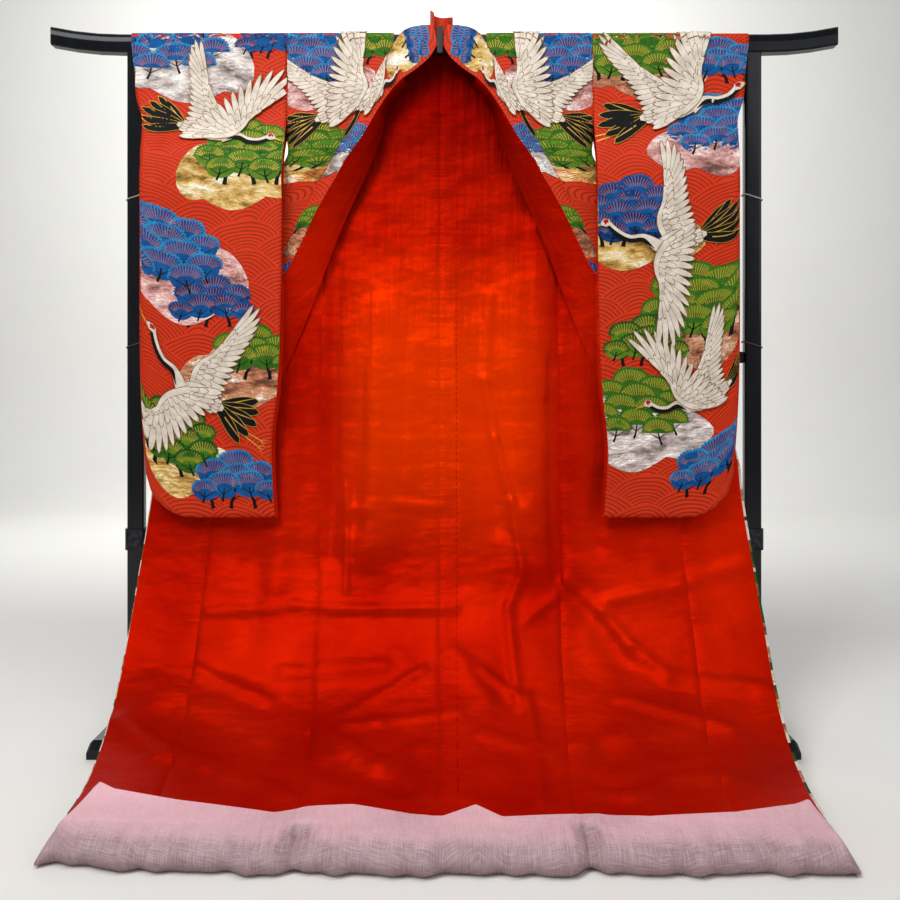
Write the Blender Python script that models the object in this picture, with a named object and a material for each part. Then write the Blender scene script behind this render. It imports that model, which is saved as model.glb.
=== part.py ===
"""An uchikake wedding kimono, held open on its black lacquered stand.

Metres, +Z up. The open fronts and the red lining face -Y, and +X is to the viewer's right.
The origin is on the floor, under the middle of the whole object.
"""

import math

import bmesh
import bpy
import numpy as np

# Where things stand.
STAND_Y = 0.217
GARMENT_X = -0.009
SIDES = {"left": -1, "right": 1}

# Stand sizes.
BAR_HALF = 0.833
BAR_TOP = 1.4520
BAR_TALL = 0.038
BAR_DEEP = 0.029
BAR_RISE = 0.016
BAR_RISE_RUN = 0.150
BAR_END_LEAN = 0.004
BAR_CHAMFER = 0.003
POST_X = 0.655
POST_WIDE = 0.036
POST_DEEP = 0.024
POST_ROUND = 0.006
RAIL_Z = 0.768
RAIL_TALL = 0.024
RAIL_DEEP = 0.014
RAIL_BEVEL = 0.002
FERRULE_Z = 0.360
FERRULE_TALL = 0.045
FERRULE_WALL = 0.004
FOOT_LONG = 0.440
FOOT_WIDE = 0.046
FOOT_TALL = 0.030
FOOT_BEVEL = 0.006
FOOT_TIP_DROP = 0.012
FOOT_TIP_RUN = 0.020
BOSS_HALF = 0.045
BOSS_SLOPE = 0.012
BOSS_TALL = 0.014
CORD_THICK = 0.003
CORD_SLANT = 0.012
CORD_SIDES = 5
CORD_TIES = {"white": 1.108, "purple": 0.795}
CLIP_WIDE = 0.012
CLIP_TALL = 0.056
CLIP_DEEP = 0.008
CLIP_ROUND = 0.002
CLIP_Y = -0.0355
CLIP_LOW = 1.404

# Cloth sizes.
CONTACT = 0.0003
LINING = 0.0010
OUTER = 0.0013
SLEEVE_WALL = 0.0016
BODY_HALF = 0.3215
SIDE_SEAM_TOP = 1.070
SLEEVE_BOTTOM = 0.444
SLEEVE_CORNER = 0.085
CUFF_LONG = 0.270
RIM_BULGE = 0.003
RIM_CORNER_SHARE = 0.7
FURI_LINING_BELOW = 0.92
FURI_LINING_SHOWS = 0.004
BACK_CELLS = 6
FRONT_CELLS = 9
OKUMI_CELLS = 3
SLEEVE_CELLS = 10
HEM_CELLS = 25

# The fold over the bar, from its ridge down one side: distance from the bar's middle, height.
OVER_BAR = [(0.0000, BAR_TOP + 0.0003), (0.0117, BAR_TOP + 0.0003), (0.0160, BAR_TOP - 0.0035)]

# The back: height, depth, and half width at the side seam or armhole.
BACK = [
    # z, y, half
    (1.432, 0.0165, 0.3215),
    (1.370, 0.0170, 0.3215),
    (1.290, 0.0130, 0.3210),
    (1.220, 0.0090, 0.3170),
    (1.140, 0.0030, 0.2900),
    (1.070, -0.0030, 0.2600),
    (1.005, -0.0090, 0.2500),
    (0.940, -0.0150, 0.2480),
    (0.900, -0.0180, 0.2480),
    (0.865, -0.0215, 0.2480),
    (0.842, -0.0240, 0.2480),
    (0.820, -0.0260, 0.2480),
    (0.770, -0.0300, 0.2480),
    (0.710, -0.0340, 0.2480),
    (0.640, -0.0370, 0.2475),
    (0.560, -0.0430, 0.2470),
    (0.480, -0.0530, 0.2465),
    (0.400, -0.0680, 0.2460),
    (0.330, -0.0900, 0.2450),
    (0.260, -0.1230, 0.2430),
    (0.200, -0.1650, 0.2400),
    (0.150, -0.2150, 0.2380),
    (0.112, -0.2750, 0.2340),
    (0.084, -0.3400, 0.2300),
    (0.064, -0.4050, 0.2250),
    (0.052, -0.4650, 0.2220),
    (0.046, -0.5250, 0.2200),
]

# The front where it turns: its armhole edge, two guide points and the okumi seam.
FRONT = [
    # z, edge x, edge y, guide x, y, second guide x, y, seam x, seam y
    (1.432, 0.3215, -0.0165, 0.245, -0.0165, 0.170, -0.0165, 0.098, -0.0165),
    (1.390, 0.3215, -0.0185, 0.255, -0.0200, 0.185, -0.0200, 0.118, -0.0200),
    (1.330, 0.3215, -0.0215, 0.270, -0.0270, 0.210, -0.0280, 0.150, -0.0270),
    (1.270, 0.3210, -0.0250, 0.290, -0.0340, 0.235, -0.0360, 0.180, -0.0330),
    (1.235, 0.3200, -0.0250, 0.306, -0.0400, 0.250, -0.0420, 0.197, -0.0350),
    (1.205, 0.3160, -0.0200, 0.320, -0.0440, 0.272, -0.0480, 0.212, -0.0360),
    (1.175, 0.3080, -0.0140, 0.345, -0.0340, 0.315, -0.0520, 0.229, -0.0370),
    (1.145, 0.2970, -0.0090, 0.380, -0.0140, 0.360, -0.0520, 0.245, -0.0380),
    (1.120, 0.2860, -0.0060, 0.410, -0.0060, 0.400, -0.0500, 0.259, -0.0380),
    (1.095, 0.2720, -0.0040, 0.430, -0.0040, 0.430, -0.0480, 0.272, -0.0380),
    (1.070, 0.2600, -0.0030, 0.445, -0.0040, 0.450, -0.0480, 0.287, -0.0380),
    (1.005, 0.2500, -0.0090, 0.450, -0.0080, 0.480, -0.0460, 0.318, -0.0380),
    (0.940, 0.2480, -0.0150, 0.430, -0.0140, 0.490, -0.0440, 0.355, -0.0400),
    (0.900, 0.2480, -0.0180, 0.400, -0.0180, 0.475, -0.0380, 0.390, -0.0440),
    (0.865, 0.2480, -0.0215, 0.370, -0.0230, 0.440, -0.0300, 0.412, -0.0450),
    (0.842, 0.2480, -0.0240, 0.350, -0.0250, 0.416, -0.0280, 0.424, -0.0450),
    (0.820, 0.2480, -0.0260, 0.340, -0.0280, 0.400, -0.0300, 0.430, -0.0400),
    (0.770, 0.2480, -0.0300, 0.320, -0.0310, 0.390, -0.0330, 0.445, -0.0370),
    (0.710, 0.2480, -0.0340, 0.320, -0.0350, 0.390, -0.0360, 0.457, -0.0370),
]
OKUMI_TOP = 0.820
OKUMI = {
    # z: okumi seam, front edge, how far the front edge comes forward
    0.820: (0.430, 0.441, 0.0030),
    0.770: (0.445, 0.482, 0.0025),
    0.710: (0.457, 0.535, 0.0020),
    0.640: (0.468, 0.585, 0.0010),
    0.560: (0.480, 0.606, 0.0),
    0.480: (0.485, 0.612, 0.0),
    0.400: (0.488, 0.620, 0.0),
    0.330: (0.490, 0.626, 0.0),
    0.260: (0.491, 0.628, 0.0),
    0.200: (0.491, 0.627, 0.0),
    0.150: (0.487, 0.622, 0.0),
    0.112: (0.480, 0.614, 0.0),
    0.084: (0.472, 0.606, 0.0),
    0.064: (0.465, 0.598, 0.0),
    0.052: (0.460, 0.592, 0.0),
    0.046: (0.457, 0.588, 0.0),
}
# The viewer's left side is spread a little less than the right.
SPREAD = {"left": 0.975, "right": 1.020}

# The collar where it turns round the neck, above the front it is sewn to.
NECK_TURN = [
    # seam x, y, z, edge x, y, z
    (0.0140, -0.0200, 1.468, 0.0050, -0.0290, 1.424),
    (0.0440, -0.0200, 1.466, 0.0220, -0.0300, 1.397),
    (0.0750, -0.0185, 1.457, 0.0500, -0.0310, 1.372),
]
# The opening edge of the collar beside each row of the front and okumi, and how far the
# lining half turns in behind it: nothing where a sleeve hides it.
COLLAR = {
    # seam z: edge x, y, z, lining inward, lining y
    1.432: (0.080, -0.0310, 1.352, 0.012, -0.0200),
    1.390: (0.101, -0.0330, 1.328, 0.013, -0.0200),
    1.330: (0.128, -0.0370, 1.288, 0.016, -0.0200),
    1.270: (0.150, -0.0420, 1.248, 0.020, -0.0200),
    1.235: (0.163, -0.0440, 1.226, 0.023, -0.0200),
    1.205: (0.179, -0.0455, 1.202, 0.025, -0.0200),
    1.175: (0.198, -0.0460, 1.175, 0.029, -0.0200),
    1.145: (0.214, -0.0465, 1.145, 0.031, -0.0200),
    1.120: (0.229, -0.0465, 1.120, 0.034, -0.0200),
    1.095: (0.243, -0.0460, 1.095, 0.037, -0.0200),
    1.070: (0.257, -0.0455, 1.070, 0.040, -0.0200),
    1.005: (0.288, -0.0450, 1.005, 0.045, -0.0210),
    0.940: (0.325, -0.0460, 0.940, 0.050, -0.0240),
    0.900: (0.368, -0.0495, 0.900, 0.0, 0.0),
    0.865: (0.407, -0.0514, 0.865, 0.0, 0.0),
    0.842: (0.4255, -0.0517, 0.842, 0.0, 0.0),
    0.820: (0.4550, -0.0504, 0.820, 0.0, 0.0),
    0.770: (0.498, -0.0460, 0.770, 0.0, 0.0),
    0.710: (0.556, -0.0450, 0.710, 0.0, 0.0),
    0.640: (0.606, -0.0440, 0.640, 0.0, 0.0),
}
COLLAR_BULGE = 0.002

# A sleeve: depth of its front and back layers, its inner and outer edges.
SLEEVE = [
    # z, front y, back y at the furi, back y at the cuff side, inner x, outer x
    (1.432, -0.0165, 0.0165, 0.0165, 0.3220, 0.6520),
    (1.370, -0.0195, 0.0175, 0.0175, 0.3220, 0.6440),
    (1.310, -0.0240, 0.0150, 0.0165, 0.3220, 0.6380),
    (1.270, -0.0300, 0.0050, 0.0120, 0.3220, 0.6250),
    (1.230, -0.0420, -0.0180, 0.0040, 0.3225, 0.6220),
    (1.195, -0.0580, -0.0420, -0.0060, 0.3235, 0.6190),
    (1.160, -0.0680, -0.0530, -0.0160, 0.3240, 0.6170),
    (1.120, -0.0710, -0.0560, -0.0260, 0.3240, 0.6160),
    (1.060, -0.0720, -0.0570, -0.0360, 0.3240, 0.6150),
    (0.980, -0.0730, -0.0580, -0.0430, 0.3245, 0.6145),
    (0.890, -0.0740, -0.0590, -0.0480, 0.3260, 0.6140),
    (0.800, -0.0750, -0.0605, -0.0530, 0.3275, 0.6130),
    (0.700, -0.0780, -0.0640, -0.0580, 0.3320, 0.6100),
    (0.600, -0.0820, -0.0690, -0.0650, 0.3420, 0.6030),
    (0.515, -0.0870, -0.0750, -0.0730, 0.3400, 0.5940),
    (0.444, -0.0920, -0.0830, -0.0820, 0.3340, 0.5860),
]

# The soft padded hem: a roll along the floor, pinched a little at the side seams.
HEM_HALF = 0.606
HEM_FRONT = -0.648
HEM_END_BACK = 0.030
HEM_DEEP = 0.112
HEM_TALL = 0.0440
HEM_LOW_SHARE = 0.36
HEM_ROUNDNESS = 0.8
HEM_UNDER_INSET = 0.012
HEM_PINCH = 0.006
HEM_PINCH_HALF = 0.020
HEM_PINCH_AT = (-0.215, 0.220)
HEM_WAVES = [
    # height, radians of wave per metre of run, start
    (0.003, 31.0, 0.0),
    (0.002, 57.0, 1.0),
]
HEM_RIGHT_END_SHARE = 0.1
GAUZE = 0.0010
GAUZE_TOP_RUN = 0.040
GAUZE_TOP_RISE = 0.0036
HEM_SIDES = 10

# Largest folds of the open body: a ridge (+) or trough (-) seen from the front. Where the
# cloth runs out over the floor, below FOLD_FLOOR_Z, they lift it as well.
FOLD_FORWARD = 0.6
FOLD_LIFT = 0.8
FOLD_FLOOR_Z = 0.35
FOLDS = [
    # x0, z0, x1, z1, half width, height
    (-0.140, 0.900, -0.150, 0.380, 0.045, 0.010),
    (-0.215, 1.000, -0.225, 0.420, 0.030, -0.008),
    (0.060, 0.960, 0.110, 0.300, 0.035, -0.006),
    (0.150, 0.900, 0.190, 0.350, 0.045, 0.009),
    (0.220, 0.850, 0.240, 0.300, 0.025, -0.006),
    (-0.560, 0.200, -0.250, 0.100, 0.045, -0.016),
    (-0.240, 0.150, -0.050, 0.090, 0.045, -0.014),
    (0.120, 0.120, 0.260, 0.080, 0.045, -0.012),
    (0.250, 0.180, 0.560, 0.110, 0.045, -0.014),
    (-0.480, 0.360, -0.120, 0.340, 0.035, -0.006),
    (0.260, 0.340, 0.600, 0.240, 0.040, 0.009),
]

NECK_PLAN = [
    # x from the garment's middle, y: the neck band in plan, front to back to front
    (-0.014, -0.0200),
    (-0.020, -0.0050),
    (-0.021, 0.0150),
    (-0.012, 0.0330),
    (0.003, 0.0380),
    (0.018, 0.0300),
    (0.027, 0.0120),
    (0.024, -0.0060),
    (0.016, -0.0200),
]
NECK_TOPS = (1.494, 1.505, 1.508, 1.507, 1.505, 1.503, 1.497, 1.487, 1.474)
NECK_BOTTOM = 1.4552
NECK_WALL = 0.0020


def clear_scene():
    for item in list(bpy.data.objects):
        bpy.data.objects.remove(item, do_unlink=True)


def finish(name, colour, roughness, metallic=0.0):
    """One plain Principled material."""
    material = bpy.data.materials.new(name)
    material.use_nodes = True
    shader = material.node_tree.nodes["Principled BSDF"]
    shader.inputs["Base Color"].default_value = (*colour, 1.0)
    shader.inputs["Roughness"].default_value = roughness
    shader.inputs["Metallic"].default_value = metallic
    return material


def add_solid(name, points, faces, material, smooth_under=40.0):
    """Make one closed body from points in the stand's own frame."""
    mesh = bpy.data.meshes.new(name)
    mesh.from_pydata([tuple(point) for point in points], [], [tuple(face) for face in faces])
    edit = bmesh.new()
    edit.from_mesh(mesh)
    bmesh.ops.recalc_face_normals(edit, faces=edit.faces)
    edit.to_mesh(mesh)
    edit.free()
    mesh.shade_smooth()
    mesh.set_sharp_from_angle(angle=math.radians(smooth_under))
    mesh.materials.append(material)
    body = bpy.data.objects.new(name, mesh)
    body.location = (0.0, STAND_Y, 0.0)
    bpy.context.collection.objects.link(body)
    return body


def loft(name, loops, material, smooth_under=40.0):
    """Join closed loops of equal length one after the other and cap both ends."""
    count = len(loops[0])
    points = [point for loop in loops for point in loop]
    faces = []
    for step in range(len(loops) - 1):
        for side in range(count):
            after = (side + 1) % count
            first, second = step * count, (step + 1) * count
            faces.append((first + side, first + after, second + after, second + side))
    faces.append(tuple(reversed(range(count))))
    faces.append(tuple(range(len(points) - count, len(points))))
    return add_solid(name, points, faces, material, smooth_under)


def ring_solid(name, loops, material, smooth_under=40.0):
    """Join closed loops one after the other and the last one to the first."""
    count = len(loops[0])
    steps = len(loops)
    points = [point for loop in loops for point in loop]
    faces = []
    for step in range(steps):
        for side in range(count):
            after = (side + 1) % count
            first, second = step * count, (step + 1) % steps * count
            faces.append((first + side, first + after, second + after, second + side))
    return add_solid(name, points, faces, material, smooth_under)


def rounded_box_outline(wide, deep, corner, steps=3):
    """A rounded rectangle around the origin, anticlockwise, as x, y pairs."""
    outline = []
    for quarter in range(4):
        along, across = ((1, 1), (-1, 1), (-1, -1), (1, -1))[quarter]
        for step in range(steps + 1):
            angle = math.radians(90 * quarter + 90 * step / steps)
            x = along * (wide / 2 - corner) + corner * math.cos(angle)
            y = across * (deep / 2 - corner) + corner * math.sin(angle)
            outline.append((x, y))
    return outline


def surface_normals(grid, sign):
    """Unit normals of a grid of points, pointing to the garment's outside."""
    down = np.gradient(grid, axis=0)
    across = np.gradient(grid, axis=1)
    normals = np.cross(down, across) * sign
    return normals / np.linalg.norm(normals, axis=2, keepdims=True)


def add_wall(name, grid, normals, inner, outer, material):
    """A cloth wall on a grid of points, from one distance out of it to another."""
    rows, columns = grid.shape[:2]
    near = grid + normals * inner
    far = grid + normals * outer
    points = np.concatenate([near.reshape(-1, 3), far.reshape(-1, 3)])
    layer = rows * columns

    def at(row, column, side):
        return side * layer + row * columns + column

    faces = []
    for row in range(rows - 1):
        for column in range(columns - 1):
            corners = [(row, column), (row, column + 1), (row + 1, column + 1), (row + 1, column)]
            for side in (0, 1):
                a, b, c, d = [at(r, k, side) for r, k in corners]
                faces += [(a, b, c), (a, c, d)] if side else [(c, b, a), (d, c, a)]
    edge = [(0, k) for k in range(columns)]
    edge += [(r, columns - 1) for r in range(1, rows)]
    edge += [(rows - 1, k) for k in range(columns - 2, -1, -1)]
    edge += [(r, 0) for r in range(rows - 2, 0, -1)]
    for step, (row, column) in enumerate(edge):
        next_row, next_column = edge[(step + 1) % len(edge)]
        a, b = at(row, column, 0), at(next_row, next_column, 0)
        c, d = at(next_row, next_column, 1), at(row, column, 1)
        faces += [(a, b, c), (a, c, d)]
    return add_solid(name, points, faces, material, 60.0)


def trim(grid, column, gap):
    """Draw one edge column back from its seam by half the gap."""
    inside = 1 if column == 0 else grid.shape[1] - 2
    edge = 0 if column == 0 else grid.shape[1] - 1
    step = grid[:, inside] - grid[:, edge]
    grid[:, edge] += step / np.linalg.norm(step, axis=1, keepdims=True) * gap / 2


def fold_height(x, z):
    """Height of the body's folds at one place, towards the viewer."""
    height = 0.0
    for x0, z0, x1, z1, half, rise in FOLDS:
        run_x, run_z = x1 - x0, z1 - z0
        length = run_x * run_x + run_z * run_z
        along = ((x - x0) * run_x + (z - z0) * run_z) / length
        along = min(max(along, 0.0), 1.0)
        away = math.hypot(x - x0 - along * run_x, z - z0 - along * run_z)
        height += rise * math.exp(-((away / half) ** 2))
    return height


def curve_points(guides, cells):
    """Points along a cubic curve in plan, with its four guide points."""
    guides = np.array(guides)
    result = []
    for cell in range(cells + 1):
        t = cell / cells
        weights = ((1 - t) ** 3, 3 * t * (1 - t) ** 2, 3 * t * t * (1 - t), t**3)
        result.append(sum(weight * guide for weight, guide in zip(weights, guides)))
    return result


def place(side, x, y, z):
    return (GARMENT_X + SIDES[side] * x, y, z)


def back_grid(side):
    rows = [[place(side, BODY_HALF * k / BACK_CELLS, y, z) for k in range(BACK_CELLS + 1)]
            for y, z in OVER_BAR]
    for z, y, half in BACK:
        rows.append([place(side, half * k / BACK_CELLS, y, z) for k in range(BACK_CELLS + 1)])
    return add_folds(np.array(rows))


def add_folds(grid):
    """Push the camera side of the open body in and out where its folds lie."""
    for row in grid:
        for point in row:
            away = fold_height(point[0], point[2])
            point[1] -= away * FOLD_FORWARD
            point[2] += away * FOLD_LIFT * max(0.0, 1.0 - point[2] / FOLD_FLOOR_Z)
    return grid


def front_grid(side):
    rows = []
    steps = range(FRONT_CELLS + 1)
    inner = FRONT[0][-2]
    for y, z in OVER_BAR:
        rows.append([place(side, BODY_HALF + (inner - BODY_HALF) * k / FRONT_CELLS, -y, z)
                     for k in steps])
    for z, *guides in FRONT:
        pairs = [list(guides[k:k + 2]) for k in (0, 2, 4, 6)]
        if z <= OKUMI_TOP:
            pairs[3][0] *= SPREAD[side]
        rows.append([place(side, x, y, z) for x, y in curve_points(pairs, FRONT_CELLS)])
    for z, y, half in BACK:
        if z < FRONT[-1][0]:
            reach = OKUMI[z][0] * SPREAD[side] - half
            rows.append([place(side, half + reach * k / FRONT_CELLS, y, z) for k in steps])
    return add_folds(np.array(rows))


def okumi_grid(side):
    rows = []
    depths = {row[0]: row[-1] for row in FRONT}
    for z, y, _ in BACK:
        if z > OKUMI_TOP:
            continue
        seam, edge, forward = OKUMI[z]
        row = []
        for k in range(OKUMI_CELLS + 1):
            share = k / OKUMI_CELLS
            x = (seam + (edge - seam) * share) * SPREAD[side]
            row.append(place(side, x, depths.get(z, y) - forward * share, z))
        rows.append(row)
    return add_folds(np.array(rows))


def share_normals(first, first_rows, first_column, second, second_rows, second_column):
    """Give two pieces the same normals along their seam, so that their walls don't cross."""
    joint = first[first_rows, first_column] + second[second_rows, second_column]
    joint = joint / np.linalg.norm(joint, axis=1, keepdims=True)
    first[first_rows, first_column] = joint
    second[second_rows, second_column] = joint


def unit_rows(normals):
    return normals / np.linalg.norm(normals, axis=1, keepdims=True)


def build_body(side, outer, lining):
    """The back, front, okumi and collar of one side, each as outer cloth and lining."""
    sign = -SIDES[side]
    back, front, okumi = back_grid(side), front_grid(side), okumi_grid(side)
    collar, turned, hidden_rows = collar_grids(side, front, okumi)
    back_out = surface_normals(back, sign)
    front_out = surface_normals(front, sign)
    okumi_out = surface_normals(okumi, sign)
    collar_out = surface_normals(collar, sign)
    turned_out = surface_normals(turned, sign)
    heights = [z for z, _, _ in BACK]
    sewn = slice(heights.index(SIDE_SEAM_TOP) - len(heights), None)
    okumi_sewn = slice(heights.index(OKUMI_TOP) - len(heights), None)
    share_normals(back_out, sewn, -1, front_out, sewn, 0)
    share_normals(front_out, okumi_sewn, -1, okumi_out, slice(None), 0)
    on_front = len(NECK_TURN)
    on_okumi = len(collar) - hidden_rows
    front_rows = slice(len(OVER_BAR), len(OVER_BAR) + on_okumi - on_front)
    share_normals(front_out, front_rows, -1, collar_out, slice(on_front, on_okumi), 0)
    share_normals(okumi_out, slice(0, hidden_rows), -1, collar_out, slice(on_okumi, None), 0)
    lined = slice(on_front, on_front + len(turned))
    turned_out[:, 0] = collar_out[lined, -1]
    back_out[:, 0, 0] = 0.0
    back_out[:, 0] = unit_rows(back_out[:, 0])
    for normals in (back_out, front_out):
        normals[0] = (0.0, 0.0, 1.0)
    back[0, :, 1] += CONTACT / 2
    front[0, :, 1] -= CONTACT / 2
    for grid, column in ((back, 0), (back, -1), (front, 0), (front, -1), (okumi, 0),
                         (okumi, -1), (collar, 0)):
        trim(grid, column, CONTACT)
    start = LINING + CONTACT
    for name, grid, normals in (("back", back, back_out), ("front", front, front_out),
                                ("okumi", okumi, okumi_out)):
        add_wall(f"{name}_lining_{side}", grid, normals, 0.0, LINING, lining)
        add_wall(f"{name}_{side}", grid, normals, start, start + OUTER, outer)
    add_wall(f"collar_{side}", collar, collar_out, start, start + OUTER, outer)
    add_wall(f"collar_lining_{side}", turned, turned_out, 0.0, LINING, lining)


def collar_grids(side, front, okumi):
    """The collar's patterned half, and the lining half that turns in behind its edge.

    Both are sewn to points of the front and the okumi. The last value is how many rows
    of the collar are on the okumi.
    """
    rows, lined = [], []
    for x, y, z, edge_x, edge_y, edge_z in NECK_TURN:
        rows.append(collar_row(np.array(place(side, x, y, z)),
                               np.array(place(side, edge_x, edge_y, edge_z))))
    on_okumi = [z for z in COLLAR if z <= OKUMI_TOP]
    for number, (z, (x, y, edge_z, inward, lining_y)) in enumerate(COLLAR.items()):
        if z <= OKUMI_TOP:
            seam = okumi[on_okumi.index(z), -1]
        else:
            seam = front[len(OVER_BAR) + number, -1]
        spread = SPREAD[side] if z <= OKUMI_TOP else 1.0
        edge = np.array(place(side, x * spread, y, edge_z))
        rows.append(collar_row(seam, edge))
        if inward:
            free = np.array(place(side, x - inward, lining_y, edge_z - inward / 2))
            middle = (edge + free) / 2 + np.array((0.0, -2 * COLLAR_BULGE, 0.0))
            lined.append([edge, middle, free])
    return np.array(rows), np.array(lined), len(on_okumi)


def collar_row(seam, edge):
    return [seam, (seam + edge) / 2 + np.array((0.0, -COLLAR_BULGE, 0.0)), edge]


def build_neck(outer):
    """The neck band, drawn together over the bar so that it stands up as a narrow loop."""
    rows = []
    for (x, y), top in zip(NECK_PLAN, NECK_TOPS):
        rows.append([(GARMENT_X + x, y, NECK_BOTTOM + (top - NECK_BOTTOM) * k / 3)
                     for k in range(4)])
    grid = np.array(rows)
    add_wall("collar_neck", grid, surface_normals(grid, 1), 0.0, NECK_WALL, outer)


def read_sleeve(z):
    """Depths and edges of a sleeve at one height, between the rows of its table."""
    heights = [row[0] for row in SLEEVE][::-1]
    return [float(np.interp(z, heights, [row[k] for row in SLEEVE][::-1])) for k in range(1, 6)]


def build_sleeve(side, outer):
    """A flat bag of two layers over the bar, open along the furi and at the cuff."""
    first_z = SLEEVE[0][0]
    across = [k / SLEEVE_CELLS for k in range(SLEEVE_CELLS + 1)]
    edit = bmesh.new()

    def column_bottom(share):
        wide = SLEEVE[-1][5] - SLEEVE[-1][4]
        into = max(0.0, SLEEVE_CORNER - (1.0 - share) * wide)
        return SLEEVE_BOTTOM + SLEEVE_CORNER - math.sqrt(SLEEVE_CORNER**2 - into**2)

    def layer(front):
        rows = []
        for y, z in OVER_BAR[1:]:
            xs = [SLEEVE[0][4] + share * (SLEEVE[0][5] - SLEEVE[0][4]) for share in across]
            rows.append([(x, -y if front else y, z) for x in xs])
        for level, *_ in SLEEVE:
            fallen = (first_z - level) / (first_z - SLEEVE_BOTTOM)
            row = []
            for share in across:
                z = first_z + (column_bottom(share) - first_z) * fallen
                front_y, furi_y, cuff_y, inner_x, outer_x = read_sleeve(z)
                y = front_y if front else furi_y + (cuff_y - furi_y) * share
                x = inner_x + (outer_x - inner_x) * share
                if not front and share == 0.0 and z < FURI_LINING_BELOW:
                    x -= FURI_LINING_SHOWS
                row.append((x, y, z))
            rows.append(row)
        return [[edit.verts.new(place(side, *point)) for point in row] for row in rows]

    start, stop = SLEEVE[0][4], SLEEVE[0][5]
    ridge = [edit.verts.new(place(side, start + share * (stop - start), 0.0, OVER_BAR[0][1]))
             for share in across]
    front, back = layer(True), layer(False)
    sheet = front[::-1] + [ridge] + back
    for row, after in zip(sheet, sheet[1:]):
        for k in range(SLEEVE_CELLS):
            edit.faces.new((row[k], row[k + 1], after[k + 1], after[k]))
    closed = [k for k, row in enumerate(front) if row[-1].co.z < first_z - CUFF_LONG]
    rim = [(front[k][-1], back[k][-1], (1, 0)) for k in closed]
    rim += [(front[-1][k], back[-1][k], (0, -1)) for k in range(SLEEVE_CELLS - 1, -1, -1)]
    middles = []
    for number, (near, far, (out_x, out_z)) in enumerate(rim):
        corner = number >= len(closed) - 1 and number <= len(closed) + 2
        push = (RIM_CORNER_SHARE, -RIM_CORNER_SHARE) if corner else (out_x, out_z)
        middle = (near.co + far.co) / 2
        middle.x += SIDES[side] * push[0] * RIM_BULGE
        middle.z += push[1] * RIM_BULGE
        middles.append(edit.verts.new(middle))
    for k in range(len(rim) - 1):
        edit.faces.new((rim[k][0], rim[k + 1][0], middles[k + 1], middles[k]))
        edit.faces.new((middles[k], middles[k + 1], rim[k + 1][1], rim[k][1]))
    bmesh.ops.recalc_face_normals(edit, faces=edit.faces)
    bmesh.ops.triangulate(edit, faces=edit.faces)
    mesh = bpy.data.meshes.new(f"sleeve_{side}")
    edit.to_mesh(mesh)
    edit.free()
    forward = SLEEVE[-1][1] / 2
    toward_viewer = sum(face.normal.y * face.area for face in mesh.polygons
                        if face.center.y < forward)
    mesh.shade_smooth()
    mesh.materials.append(outer)
    body = bpy.data.objects.new(f"sleeve_{side}", mesh)
    body.location = (0.0, STAND_Y, 0.0)
    bpy.context.collection.objects.link(body)
    thick = body.modifiers.new("wall", "SOLIDIFY")
    thick.thickness = SLEEVE_WALL
    thick.offset = 1.0 if toward_viewer < 0 else -1.0


def hem_pinch(x):
    return sum(math.exp(-(((x - at) / HEM_PINCH_HALF) ** 2)) for at in HEM_PINCH_AT)


def hem_sections(outset):
    """Sections of the hem roll, each a list of y, z from its back over the top to the floor."""
    sections = []
    for cell in range(HEM_CELLS + 1):
        share = -1.0 + 2.0 * cell / HEM_CELLS
        x = GARMENT_X + share * HEM_HALF
        pinch = HEM_PINCH * hem_pinch(x)
        wave = sum(rise * math.sin(x * rate + start) for rise, rate, start in HEM_WAVES)
        end_share = 1.0 if x < 0 else HEM_RIGHT_END_SHARE
        front = HEM_FRONT + HEM_END_BACK * abs(share) ** 3 * end_share + wave
        tall = HEM_TALL - pinch
        middle = front + HEM_DEEP / 2 + pinch
        section = []
        for step in range(HEM_SIDES + 1):
            angle = math.pi * step / HEM_SIDES
            y = middle + (HEM_DEEP / 2 + outset) * math.cos(angle)
            swell = (1.0 - HEM_LOW_SHARE) * math.sin(angle) ** HEM_ROUNDNESS
            z = tall * (HEM_LOW_SHARE + swell) + outset * math.sin(angle)
            section.append((y, z))
        sections.append((x, section))
    return sections


def build_hem(red, white):
    """The padded roll of the hem, flat on the floor, and the gauze wrapped round it."""
    floor = GAUZE + CONTACT
    loops = []
    for x, section in hem_sections(0.0):
        loop = [(x, y, z + floor) for y, z in section]
        low_front, low_back = section[-1][0] + HEM_UNDER_INSET, section[0][0] - HEM_UNDER_INSET
        loop += [(x, low_front, floor), (x, low_back, floor)]
        loops.append(loop)
    loft("hem_fuki", loops, red, 60.0)
    rows = []
    for x, section in hem_sections(CONTACT):
        over = [(x, y, z + floor) for y, z in section[2:]]
        top_y, top_z = over[0][1], over[0][2]
        run_in = [(x, top_y + GAUZE_TOP_RUN * k / 2, top_z + GAUZE_TOP_RISE * k / 2)
                  for k in (2, 1)]
        low_front = section[-1][0] + HEM_UNDER_INSET
        low_back = section[0][0] - HEM_UNDER_INSET
        under = [(x, low_front + (low_back - low_front) * k / 3, GAUZE) for k in range(4)]
        rows.append(run_in + over + under)
    grid = np.array(rows)
    normals = surface_normals(grid, 1)
    if normals[HEM_CELLS // 2, 4, 2] < 0:
        normals = -normals
    normals[:, -4:] = (0.0, 0.0, -1.0)
    add_wall("hem_gauze", grid, normals, 0.0, GAUZE, white)


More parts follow.
